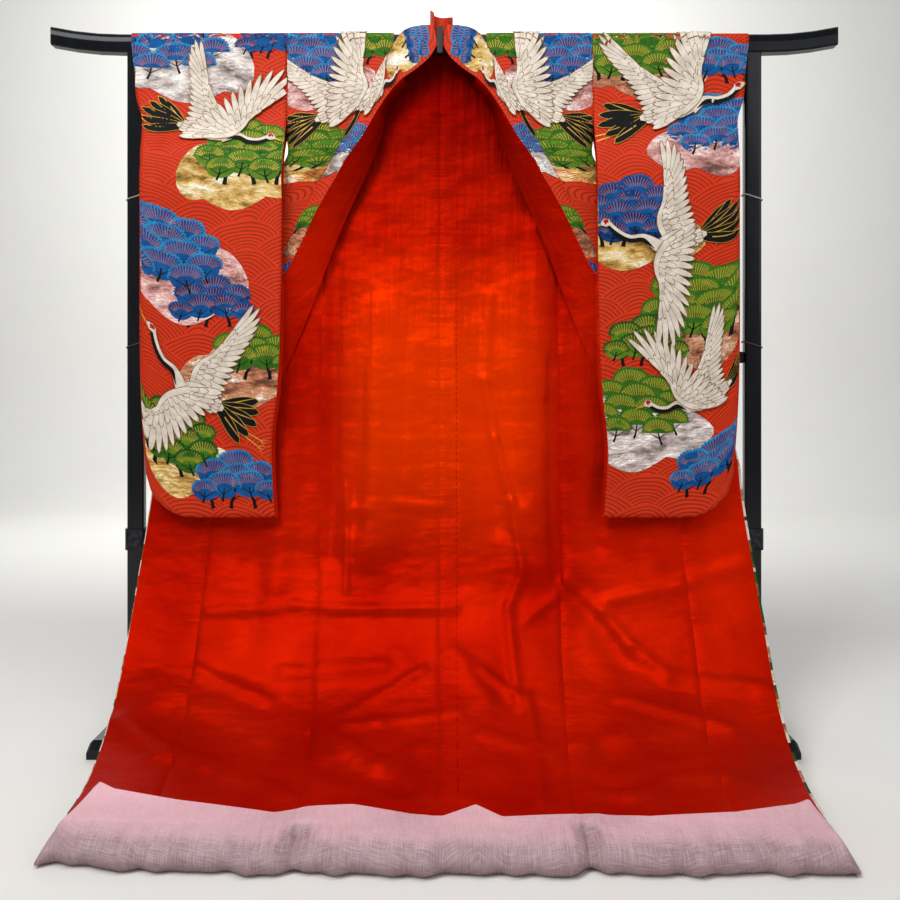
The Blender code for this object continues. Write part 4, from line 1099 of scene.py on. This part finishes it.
# The cushions of a pine in two or three rows: place and width, as shares of its own width.
PINE_CAPS = {
    2: [(-0.02, 0.17, 0.40), (-0.28, 0.08, 0.34), (0.26, 0.10, 0.36), (-0.02, 0.06, 0.34),
        (-0.16, -0.02, 0.36), (0.14, -0.03, 0.36), (-0.38, -0.08, 0.26), (0.38, -0.08, 0.28)],
    3: [(-0.06, 0.34, 0.34), (0.18, 0.27, 0.32), (-0.28, 0.24, 0.30), (0.00, 0.20, 0.34),
        (0.33, 0.15, 0.28), (-0.18, 0.11, 0.32), (0.13, 0.08, 0.34), (-0.38, 0.04, 0.28),
        (-0.04, -0.03, 0.34), (0.34, -0.02, 0.30), (-0.26, -0.09, 0.28), (0.18, -0.11, 0.30)],
}
CAP_BANDS = (1.0, 0.86, 0.50, 0.0)
NEEDLE_HALF = 0.00060
NEEDLES_PER_METRE = 190
CAP_POINTS = 61
CAP_TALL = 0.41
FOIL_LOBES = 3.0
FOIL_LOWER = 0.008
FOIL_WIDER = 1.10
FOIL_TALLER = 1.22

# The design in millimetres across and down each sheet. Foil: width, height, colour, flip,
# angle. Pines: width, tint, flip, rows of cushions. Cranes: span, angle, flip, the two wings'
# angles and how far the neck is raised.
DESIGN = {
    "sleeve_left_front": {
        "foil": [
            (235, 85, 300, 115, "silver", 1, 2), (80, 330, 260, 110, "gold", -1, -2),
            (235, 560, 300, 120, "pink", 1, 1), (90, 740, 250, 110, "copper", 1, 0),
            (220, 925, 260, 110, "gold", -1, 2),
        ],
        "pine": [
            (245, 60, 230, "blue", 1, 3), (75, 300, 210, "green", -1, 3),
            (30, 30, 150, "blue_deep", 1, 2), (250, 520, 240, "blue", -1, 3),
            (150, 600, 180, "blue_deep", 1, 2), (60, 705, 190, "green", 1, 2),
            (235, 900, 210, "green_deep", -1, 3), (90, 965, 200, "blue", 1, 2),
        ],
        "crane": [
            (175, 235, 323, 20, -1, 118, 55, 0.4), (175, 790, 342, 24, 1, 104, -66, 0.8),
        ],
    },
    "sleeve_right_front": {
        "foil": [
            (90, 80, 280, 110, "copper", -1, -2), (255, 265, 270, 115, "pink", -1, 2),
            (80, 455, 280, 110, "gold", 1, 0), (225, 660, 300, 115, "copper", -1, 1),
            (85, 860, 300, 120, "silver", 1, 2),
        ],
        "pine": [
            (80, 60, 220, "green", -1, 3), (270, 80, 170, "blue", 1, 2),
            (265, 245, 210, "blue", 1, 3), (70, 430, 200, "blue_deep", -1, 3),
            (220, 625, 240, "green", 1, 3), (105, 680, 180, "green_deep", -1, 2),
            (80, 835, 220, "green", 1, 3), (255, 945, 190, "blue", -1, 2),
        ],
        "crane": [
            (160, 190, 354, 12, 1, 122, 60, 0.2), (175, 470, 329, 14, -1, 100, -70, 0.9),
            (240, 800, 305, 16, -1, 116, 58, 0.4),
        ],
    },
    "front": {
        "foil": [
            (70, 120, 240, 100, "pink", 1, 2), (90, 330, 220, 100, "gold", -1, 0),
            (160, 620, 300, 120, "copper", 1, 1), (120, 1060, 300, 120, "gold", -1, 1),
            (150, 1330, 300, 120, "pink", 1, 1),
        ],
        "pine": [
            (50, 85, 190, "blue", 1, 3), (180, 45, 150, "green", -1, 2),
            (70, 300, 180, "green", -1, 3), (160, 590, 230, "blue", 1, 3),
            (110, 1030, 240, "green", 1, 3), (150, 1300, 240, "blue", -1, 3),
            (130, 1800, 260, "green", 1, 3),
        ],
        "crane": [
            (120, 190, 305, 28, 1, 116, 56, 0.3), (130, 820, 366, 18, -1, 104, -64, 0.6),
            (120, 1560, 390, 20, 1, 116, 56, 0.4),
        ],
    },
    "okumi": {
        "foil": [
            (70, 200, 220, 100, "gold", 1, 0), (80, 520, 240, 100, "silver", -1, 0),
            (80, 1010, 240, 100, "copper", 1, 0),
        ],
        "pine": [
            (70, 170, 180, "green", 1, 3), (70, 490, 190, "blue", 1, 3),
            (70, 980, 190, "green", -1, 3),
        ],
        "crane": [
            (60, 760, 293, 14, 1, 116, 56, 0.4),
        ],
    },
    "back": {
        "foil": [
            (80, 120, 340, 120, "gold", 1, 0), (-210, 230, 280, 110, "pink", -1, 2),
            (160, 520, 280, 110, "silver", 1, 0), (-120, 640, 300, 120, "copper", -1, 0),
            (-130, 1000, 300, 120, "gold", 1, 0), (120, 1130, 300, 120, "pink", -1, 0),
            (140, 1480, 300, 120, "copper", 1, 0), (-120, 1600, 320, 120, "silver", -1, 0),
        ],
        "pine": [
            (-200, 190, 230, "blue", 1, 3), (120, 85, 250, "green", -1, 3),
            (170, 485, 230, "blue", -1, 3), (-130, 600, 240, "green", 1, 3),
            (-130, 965, 240, "blue", -1, 3), (130, 1095, 240, "green", 1, 3),
            (140, 1445, 240, "blue", 1, 3), (-120, 1565, 260, "green", -1, 3),
            (100, 1780, 260, "blue_deep", 1, 3),
        ],
        "crane": [
            (10, 320, 512, 16, 1, 118, 58, 0.5), (150, 790, 464, 14, -1, 118, 58, 0.7),
            (-60, 1300, 488, 14, 1, 118, 58, 0.4),
        ],
    },
    "collar": {
        "foil": [
            (30, 80, 110, 70, "gold", 1, 40), (30, 330, 130, 70, "silver", -1, 30),
            (30, 520, 130, 70, "copper", 1, 20),
        ],
        "pine": [
            (20, 50, 110, "blue", 1, 2), (25, 310, 120, "blue", -1, 3),
            (30, 490, 110, "green", 1, 2), (30, 640, 120, "blue_deep", -1, 3),
        ],
        "crane": [
            (20, 200, 232, 60, 1, 110, 60, 0.2),
        ],
    },
}
DESIGN["sleeve_left_back"] = DESIGN["sleeve_right_front"]
DESIGN["sleeve_right_back"] = DESIGN["sleeve_left_front"]


def draw_design(part, surfaces, threads):
    """Paint a sheet's motifs, foil first, then pines, then cranes, and lay them on it."""
    canvas, motifs = Canvas(), DESIGN[part]
    for x, y, width, height, colour, flip, angle in motifs["foil"]:
        draw_foil(canvas, (x / 1000, y / 1000 + FOIL_LOWER), width / 1000 * FOIL_WIDER,
                  height / 1000 * FOIL_TALLER, colour, flip, angle)
    for x, y, width, *words in motifs["pine"]:
        draw_pine(canvas, (x / 1000, y / 1000), width / 1000, *words)
    for x, y, span, *words in motifs["crane"]:
        draw_crane(canvas, (x / 1000, y / 1000), span / 1000, *words)
    canvas.finish(surfaces, threads)


def build_body(side, looks, surfaces):
    """Linings and outer cloth of the back, front, okumi and collar of one side."""
    back, front, okumi = back_grid(side), front_grid(side), okumi_grid(side)
    okumi_first = len(front) - len(okumi)
    collar, collar_first, collar_down = collar_grid(side, front, okumi, okumi_first)
    back_out, front_out, okumi_out, collar_out = (
        grid_normals(grid, -SIDES[side]) for grid in (back, front, okumi, collar))
    seam_row = int(np.argmax(FINE_Z <= SIDE_SEAM_TOP))
    on_okumi = len(collar) - collar_down
    on_front = on_okumi - (okumi_first - collar_first)
    share_normals(back_out[seam_row:, -1], front_out[seam_row:, 0])
    share_normals(front_out[okumi_first:, -1], okumi_out[:, 0])
    share_normals(front_out[collar_first:okumi_first, -1], collar_out[on_front:on_okumi, 0])
    share_normals(okumi_out[:collar_down, -1], collar_out[on_okumi:, 0])
    back_out[:, 0, 0] = 0.0
    back_out[:, 0] = unit(back_out[:, 0])
    back_out[0] = front_out[0] = (0.0, 0.0, 1.0)
    groove(back, back_out, 0)
    groove(back[seam_row:], back_out[seam_row:], -1)
    groove(front[seam_row:], front_out[seam_row:], 0)
    groove(front[okumi_first:], front_out[okumi_first:], -1)
    groove(okumi, okumi_out, 0)
    for name, grid, normals in (("back", back, back_out), ("front", front, front_out),
                                ("okumi", okumi, okumi_out), ("collar", collar, collar_out)):
        if name != "collar":
            shell(looks, f"{name}_lining_{side}", "red_silk", grid, normals, 0.0, LINING)
        shell(looks, f"{name}_{side}", "brocade", grid, normals, OUTER_START, OUTER_END)
        surfaces[f"{name}_{side}"] = Surface(grid, normals, OUTER_END)
    build_collar_lining(side, collar, collar_out, looks)


def collar_grid(side, front, okumi, okumi_first):
    """The collar's patterned half, sewn to the fine edges of the front and the okumi."""
    table = np.array(COLLAR)[::-1]
    shares = np.linspace(0.0, 1.0, COLLAR_CELLS + 1)[:, None]

    def row_between(seam, edge):
        row = np.array(seam) * (1 - shares) + np.array(edge) * shares
        row[:, 1:2] -= COLLAR_BULGE * (1.0 - (2.0 * shares - 1.0) ** 2)
        return row

    first = int(np.argmax(FINE_Z <= COLLAR[0][0]))
    last = int(np.argmax(FINE_Z < COLLAR[-1][0]))
    rows = []
    for number, (x, y, z) in enumerate(resample(table[:, 1:], table[:, 0], FINE_Z[first:last]),
                                       first):
        if number < okumi_first:
            rows.append(row_between(front[number, -1], place(side, x, y, z)))
        else:
            rows.append(row_between(okumi[number - okumi_first, -1],
                                    place(side, x * SPREAD[side], y, z)))
    ends = [row_between(place(side, *values[:3]), place(side, *values[3:]))
            for values in NECK_TURN]
    coarse = np.array(ends + [rows[0], rows[6], rows[12]])
    at = run_lengths(coarse[:, COLLAR_CELLS // 2])
    extra = resample(coarse, at, even_steps(at[len(ends)], CELL))[:-1]
    return np.concatenate([extra, np.array(rows)]), first, last - okumi_first


def build_collar_lining(side, collar, collar_out, looks):
    """The collar's inner half, which turns in behind its opening edge and lies on the lining."""
    table = np.array(COLLAR_INNER)[::-1]
    height = collar[:, -1, 2]
    use = (height - COLLAR_INNER_DROP <= table[-1, 0]) & (height >= table[0, 0])
    low = height[use] - COLLAR_INNER_DROP
    across, depth = resample(table[:, 1:], table[:, 0], np.clip(low, table[0, 0], None)).T
    free = np.stack([GARMENT_X + SIDES[side] * across, STAND_Y + depth, low], axis=1)
    shares = np.linspace(0.0, 1.0, 11)[None, :, None]
    grid = collar[use, -1][:, None] * (1 - shares) + free[:, None] * shares
    grid[..., 1] -= 2 * COLLAR_BULGE * (1.0 - (2.0 * shares[..., 0] - 1.0) ** 2)
    out = grid_normals(grid, -SIDES[side])
    out[:, 0] = collar_out[use, -1]
    shell(looks, f"collar_lining_{side}", "red_silk", grid, out, 0.0, LINING)


def build_neck(looks):
    plan = np.array(NECK_PLAN)
    at = run_lengths(plan)
    wanted = even_steps(at[-1], NECK_CELL)
    line, tops = resample(plan, at, wanted), resample(np.array(NECK_TOPS), at, wanted)
    grid = np.array([[(GARMENT_X + x, STAND_Y + y, NECK_BOTTOM + (top - NECK_BOTTOM) * s)
                      for s in np.linspace(0.0, 1.0, 9)] for (x, y), top in zip(line, tops)])
    shell(looks, "collar_neck", "brocade", grid, grid_normals(grid, 1), 0.0, NECK_WALL)


def sleeve_grids(side):
    """Front and back layers of one sleeve, from the ridge over the bar to the bottom edge."""
    shares = np.linspace(0.0, 1.0, SLEEVE_CELLS + 1)
    table = np.array(SLEEVE)[::-1]
    fine_z = np.linspace(table[0, 0], table[-1, 0], 200)
    fine = resample(table[:, 1:], table[:, 0], fine_z)
    first_z, first_in, first_out = (SLEEVE[0][k] for k in (0, 4, 5))
    wide = SLEEVE[-1][5] - SLEEVE[-1][4]
    into = np.clip(SLEEVE_CORNER - (1.0 - shares) * wide, 0.0, SLEEVE_CORNER)
    bottoms = SLEEVE_BOTTOM + SLEEVE_CORNER - np.sqrt(SLEEVE_CORNER**2 - into**2)
    falls = even_steps(1.0, CELL / (first_z - SLEEVE_BOTTOM))
    z = first_z + (bottoms[None] - first_z) * falls[:, None]
    front_y, furi_y, cuff_y, inner, outer = (np.interp(z, fine_z, fine[:, k]) for k in range(5))
    x = inner + (outer - inner) * shares
    creases = crease_depths(x, z, SLEEVE_CREASES) * np.clip((1.42 - z) / 0.1, 0, 1)
    layers = []
    for sign, y in ((-1, front_y), (1, furi_y + (cuff_y - furi_y) * shares)):
        grid = np.stack([x, y - creases, z], axis=2)
        if sign > 0:
            grid[z[:, 0] < FURI_LINING_TOP, 0, 0] -= FURI_LINING_SHOWS
        over = [[(first_in + s * (first_out - first_in), sign * dy, dz) for s in shares]
                for dy, dz in OVER_BAR]
        coarse = np.concatenate([np.array(over), grid[:3]])
        at = run_lengths(coarse[:, 0])
        smooth = resample(coarse, at, even_steps(at[len(over)], OVER_BAR_CELL))[:-1]
        grid = np.concatenate([smooth, grid])
        grid[..., 0] = GARMENT_X + SIDES[side] * grid[..., 0]
        grid[..., 1] += STAND_Y
        layers.append(grid)
    return layers, len(smooth)


def build_sleeve(side, looks, surfaces):
    """A flat bag of two layers over the bar, open along the furi and at the cuff."""
    (front, back), over_rows = sleeve_grids(side)
    rows, columns = front.shape[:2]
    sheet = np.concatenate([front[::-1], back[1:]])
    index, faces = grid_quads(len(sheet), columns)
    faces, points = faces.tolist(), sheet.reshape(-1, 3).tolist()
    surface = Surface(front, grid_normals(front, 1))
    down = np.concatenate([-surface.down[::-1], -surface.down[1:]])
    uvs = np.stack([np.concatenate([surface.across[::-1], surface.across[1:]]),
                    np.repeat(down[:, None], columns, axis=1)], axis=2).reshape(-1, 2).tolist()
    front_index, back_index = index[:rows][::-1], index[rows - 1:]
    closed = [k for k in range(over_rows, rows) if front[k, -1, 2] < SLEEVE[0][0] - CUFF_LONG]
    pairs = [(front_index[k, -1], back_index[k, -1]) for k in closed]
    pairs += [(front_index[-1, k], back_index[-1, k]) for k in range(columns - 2, -1, -1)]
    middles = np.array([(np.array(points[a]) + np.array(points[b])) / 2 for a, b in pairs])
    heading = unit(np.gradient(middles, axis=0))
    outward = np.stack([-heading[:, 2], np.zeros(len(pairs)), heading[:, 0]], axis=1) * SIDES[side]
    outward = -outward if outward[0, 0] * SIDES[side] < 0 else outward
    previous = None
    for (a, b), push in zip(pairs, outward):
        near, far = np.array(points[a]), np.array(points[b])
        ring = [int(a)]
        for step in (0.25, 0.5, 0.75):
            bulge = RIM_BULGE * math.sin(math.pi * step) ** 0.7
            points.append((near + (far - near) * step + push * bulge).tolist())
            uvs.append(uvs[a])
            ring.append(len(points) - 1)
        ring.append(int(b))
        if previous:
            faces += [[previous[k], ring[k], ring[k + 1], previous[k + 1]] for k in range(4)]
        previous = ring
    piece = make_object(f"sleeve_{side}_cloth", points, faces,
                        [looks["brocade"], looks["red_silk"]], uvs)
    turn_outwards(piece)
    ahead = sum(face.normal.y * face.area for face in piece.data.polygons
                if face.center.y < STAND_Y - 0.05)
    wall = piece.modifiers.new("wall", "SOLIDIFY")
    wall.thickness = SLEEVE_WALL
    wall.offset = 1.0 if ahead < 0 else -1.0
    wall.material_offset = 1
    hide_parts(f"sleeve_{side}")
    for layer, grid, sign in (("front", front, 1), ("back", back, -1)):
        normals = grid_normals(grid, sign * SIDES[side])
        surfaces[f"sleeve_{side}_{layer}"] = Surface(grid, normals, SLEEVE_WALL)


def hem_section(x, share, outset, floor):
    """One section of the roll, from its back over the top to the floor in front, as y, z."""
    pinch = HEM_PINCH * sum(math.exp(-(((x - at) / HEM_PINCH_HALF) ** 2)) for at in HEM_PINCH_AT)
    wave = sum(rise * math.sin(x * rate + start) for rise, rate, start in HEM_WAVES + GAUZE_WAVES)
    end_share = 1.0 if x < 0 else HEM_RIGHT_END_SHARE
    front = HEM_FRONT + HEM_END_BACK * abs(share) ** 3 * end_share + wave
    middle = front + HEM_DEEP / 2 + pinch
    section = []
    for angle in (math.pi * step / HEM_SIDES for step in range(HEM_SIDES + 1)):
        swell = (1.0 - HEM_LOW_SHARE) * math.sin(angle) ** HEM_ROUNDNESS
        section.append((middle + (HEM_DEEP / 2 + outset) * math.cos(angle),
                        (HEM_TALL - pinch) * (HEM_LOW_SHARE + swell)
                        + outset * math.sin(angle) + floor))
    return section


def gauze_row(x, share, floor, last, puckers):
    """One line of the gauze, from the lining over the roll and back below it."""
    outer = hem_section(x, share * HEM_HALF / PAD_HALF, GAUZE_CLEAR, floor)
    over = outer[HEM_SIDES // 2:]
    rays = sum(math.exp(-(((x - at) / PINCH_REACH) ** 2))
               * math.sin((x - at) / PINCH_SPACING * math.tau)
               for at in HEM_PINCH_AT) * PINCH_RIPPLES
    pucker = sum(rise * math.exp(-(((x - at) / half) ** 2)) for at, half, rise in puckers
                 if abs(x - at) < 4 * half)
    for step, (y, z) in enumerate(over):
        lift = pucker * math.sin(math.pi * (step + 1) / (len(over) + 1))
        lift += rays * (1.0 - step / len(over))
        over[step] = (y - lift * 0.5, z + lift * 0.7)
    depths = [float(np.interp(x, line[:, 0], line[:, 1])) for line in last]
    heights = [max(float(np.interp(x + step, line[:, 0], line[:, 2]))
                   for step in (-GAUZE_BRIDGES, 0.0, GAUZE_BRIDGES)) for line in last]
    start = STAND_Y + float(np.interp(x, *np.array(GAUZE_EDGE).T))
    end = max(depths[0] - GAUZE_END_BACK, STAND_Y + over[0][0] + GAUZE_ROLL_BACK)
    run_in = [(y - STAND_Y, float(np.interp(y, depths, heights)) + GAUZE_LIES_OVER)
              for y in np.linspace(start, end, 9)]
    over = [(y, max(z, heights[0] + GAUZE_LIES_OVER) if STAND_Y + y > depths[0] - 0.003 else z)
            for y, z in over]
    under = np.linspace(outer[-1][0] + HEM_UNDER_INSET, outer[0][0] - HEM_UNDER_INSET, 5)
    beyond = (abs(share) * HEM_HALF - (HEM_HALF - END_TAPER)) / END_TAPER
    lower = 1.0 - END_LOW * min(max(beyond, 0.0), 1.0) ** 1.5
    back_in = GAUZE_BACK_IN if share < 0 else 0.0
    return [(x - share * back_in * max(0.0, 1.0 - step / len(run_in)), STAND_Y + y,
             max(z * lower, GAUZE))
            for step, (y, z) in enumerate(run_in + over + [(y, GAUZE) for y in under])]


def build_hem(looks, panels):
    """The padded roll, and the gauze that lies on the lining's end and wraps the roll."""
    floor = GAUZE + GAUZE_CLEAR
    # the body's last rows, the lowest first, each from side to side
    last = [np.concatenate([grid[-number] for grid in panels]) for number in range(1, 16)]
    last = [line[np.argsort(line[:, 0])] for line in last]
    chance = random.Random(7)
    puckers = [(chance.uniform(-HEM_HALF, HEM_HALF), chance.uniform(0.003, 0.009),
                chance.uniform(-0.0016, 0.0022)) for _ in range(PUCKERS)]
    loops, rows = [], []
    for share in (-1.0 + 2.0 * cell / HEM_CELLS for cell in range(HEM_CELLS + 1)):
        middle = GARMENT_X + HEM_SHIFT
        x = middle + share * PAD_HALF
        roll = hem_section(x, share, -PAD_UNDER_GAUZE, floor)
        roll += [(roll[-1][0] + HEM_UNDER_INSET, floor), (roll[0][0] - HEM_UNDER_INSET, floor)]
        loops.append([(x, STAND_Y + y, max(z, floor)) for y, z in roll])
        rows.append(gauze_row(middle + share * HEM_HALF, share, floor, last, puckers))
    count = len(loops[0])
    points = np.array(loops).reshape(-1, 3)
    index = np.arange(len(points)).reshape(-1, count)
    after = np.roll(index, -1, axis=1)
    faces = np.stack([index[:-1], after[:-1], after[1:], index[1:]], axis=-1).reshape(-1, 4)
    fuki = make_object("hem_fuki_pad", points, [*faces, index[0], index[-1]],
                       [looks["red_silk"]], points[:, :2])
    turn_outwards(fuki)
    fuki.data.set_sharp_from_angle(angle=SHARP)
    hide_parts("hem_fuki")
    grid = np.array(rows)
    normals = grid_normals(grid, 1)
    if normals[HEM_CELLS // 2, 6, 2] < 0:
        normals = -normals
    normals[:, -5:] = (0.0, 0.0, -1.0)
    shell(looks, "hem_gauze", "white_gauze", grid, normals, 0.0, GAUZE)


def paint_cloth(surfaces, threads):
    """Lay the design on every outer surface. The back's crosses its middle seam."""
    for side in SIDES:
        for part in (f"sleeve_{side}_front", f"sleeve_{side}_back", "front", "okumi", "collar"):
            name = part if part in surfaces else f"{part}_{side}"
            draw_design(part, {name: (surfaces[name], 1.0)}, threads)
    draw_design("back", {"back_right": (surfaces["back_right"], 1.0),
                         "back_left": (surfaces["back_left"], -1.0)}, threads)


def trim_edges(surfaces, threads):
    """A narrow strip of the outer cloth that shows past the lining's front edge."""
    chance = random.Random(3)
    for side, sign in SIDES.items():
        surface = surfaces[f"okumi_{side}"]
        edge = surface.grid[:, -1] + surface.normals[:, -1] * OUTER_START
        edge = edge[int(np.argmax(edge[:, 2] < EDGE_FROM_Z)):-3]
        grow = np.clip(np.arange(len(edge)) / 10.0, 0.0, 1.0)[:, None]
        across = np.array([sign, 0.0, 0.0])
        lines = [edge + across * (EDGE_SHOWS[side] * share - 0.0005) * grow + (0.0, deep, 0.0)
                 for share, deep in ((0.0, 0.0), (0.6, 0.0002), (1.0, 0.0012))]
        points = np.stack(lines, axis=1)
        quads = grid_quads(len(edge), 3)[1][:, ::-sign]
        colours, left = [], 0
        for _ in range(len(edge) - 1):
            if left == 0:
                colour, left = chance.randrange(len(EDGE_THREADS)), chance.randrange(1, 5)
            colours += [colour, colour]
            left -= 1
        strip = make_object(f"art_edge_{side}", points.reshape(-1, 3), quads,
                            [threads[name] for name in EDGE_THREADS], None, colours)


def dress_stand(looks):
    """Better finishes for the solids that stay."""
    finishes = {"top_bar": "bar", "mid_rail": "lacquer", "neck_clip": "clip"}
    for side in SIDES:
        finishes.update({f"post_{side}": "lacquer", f"foot_{side}": "lacquer",
                         f"ferrule_{side}": "metal", f"tie_white_{side}": "white_cord",
                         f"tie_purple_{side}": "purple_cord"})
    for name, look in finishes.items():
        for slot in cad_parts[name].material_slots:
            slot.material = looks[look]


def build_stage():
    """A plain pale floor that sweeps up into the wall behind."""
    wall_y, reach, tall, radius = 4.2, 8.0, 6.0, 0.9
    curve = [(-6.0, 0.0), (-1.0, 0.0)]
    for angle in (math.pi / 2 * step / 24 for step in range(25)):
        curve.append((wall_y - radius + radius * math.sin(angle),
                      radius - radius * math.cos(angle)))
    curve.append((wall_y, tall))
    points = [(x, y, z - 0.0005) for x in (-reach, reach) for y, z in curve]
    count = len(curve)
    mesh = bpy.data.meshes.new("backdrop")
    mesh.from_pydata(points, [], [(k, k + 1, count + k + 1, count + k) for k in range(count - 1)])
    mesh.materials.append(stage_material())
    mesh.shade_smooth()
    add_object("backdrop", mesh)


LIGHTS = [
    # name, place, aimed at, size, power
    ("key", (-1.2, -1.9, 3.0), (0.0, 0.1, 0.80), 1.2, 57.0),
    ("fill", (2.3, -2.2, 1.9), (0.0, 0.1, 0.7), 1.8, 14.0),
    ("top", (0.2, -1.1, 3.0), (0.0, 0.0, 0.3), 1.4, 22.0),
    ("wall", (-0.3, 1.9, 3.0), (-0.2, 4.2, 2.3), 2.8, 96.0),
    ("behind", (-1.6, 3.0, 2.2), (0.0, 0.2, 0.7), 2.0, 16.0),
]
WORLD_STRENGTH = 0.30


def build_lights():
    for name, spot, target, size, power in LIGHTS:
        light = bpy.data.lights.new(name, "AREA")
        light.energy, light.size = power, size
        lamp = add_object(name, light)
        lamp.location = spot
        x, y, z = np.array(target) - np.array(spot)
        lamp.rotation_euler = (math.pi / 2 + math.atan2(z, math.hypot(x, y)), 0.0,
                               math.atan2(-x, y))
        lamp.visible_camera = False
    world = bpy.data.worlds.new("studio")
    world.use_nodes = True
    background = world.node_tree.nodes["Background"]
    background.inputs["Color"].default_value = (0.95, 0.97, 1.0, 1.0)
    background.inputs["Strength"].default_value = WORLD_STRENGTH
    bpy.context.scene.world = world
    bpy.context.scene.view_settings.view_transform = "Standard"


def build_camera():
    data = bpy.data.cameras.new("camera")
    data.lens, data.sensor_width = CAMERA_LENS, 36.0
    data.shift_y = CAMERA_SHIFT_Y
    camera = add_object("camera", data)
    camera.location = CAMERA
    camera.rotation_euler = (math.pi / 2, 0.0, 0.0)
    bpy.context.scene.camera = camera


def build():
    looks = {
        "red_silk": silk_material(), "brocade": ground_material(),
        "white_gauze": gauze_material(), "metal": metal_material(), "clip": clip_material(),
        "lacquer": lacquer_material("black_lacquer", False),
        "bar": lacquer_material("bar_lacquer", True),
        "white_cord": cord_material("white_cord", (196, 194, 190), (160, 156, 150)),
        "purple_cord": cord_material("purple_cord", (70, 22, 34), (44, 12, 22)),
    }
    threads = {name: thread_material(name) for name in THREADS}
    surfaces = {}
    for side in SIDES:
        build_body(side, looks, surfaces)
        build_sleeve(side, looks, surfaces)
    build_neck(looks)
    build_hem(looks, [surfaces[f"{name}_{side}"].grid for side in SIDES
                      for name in ("back", "front", "okumi")])
    paint_cloth(surfaces, threads)
    trim_edges(surfaces, threads)
    dress_stand(looks)
    build_stage()
    build_lights()
    build_camera()


build()
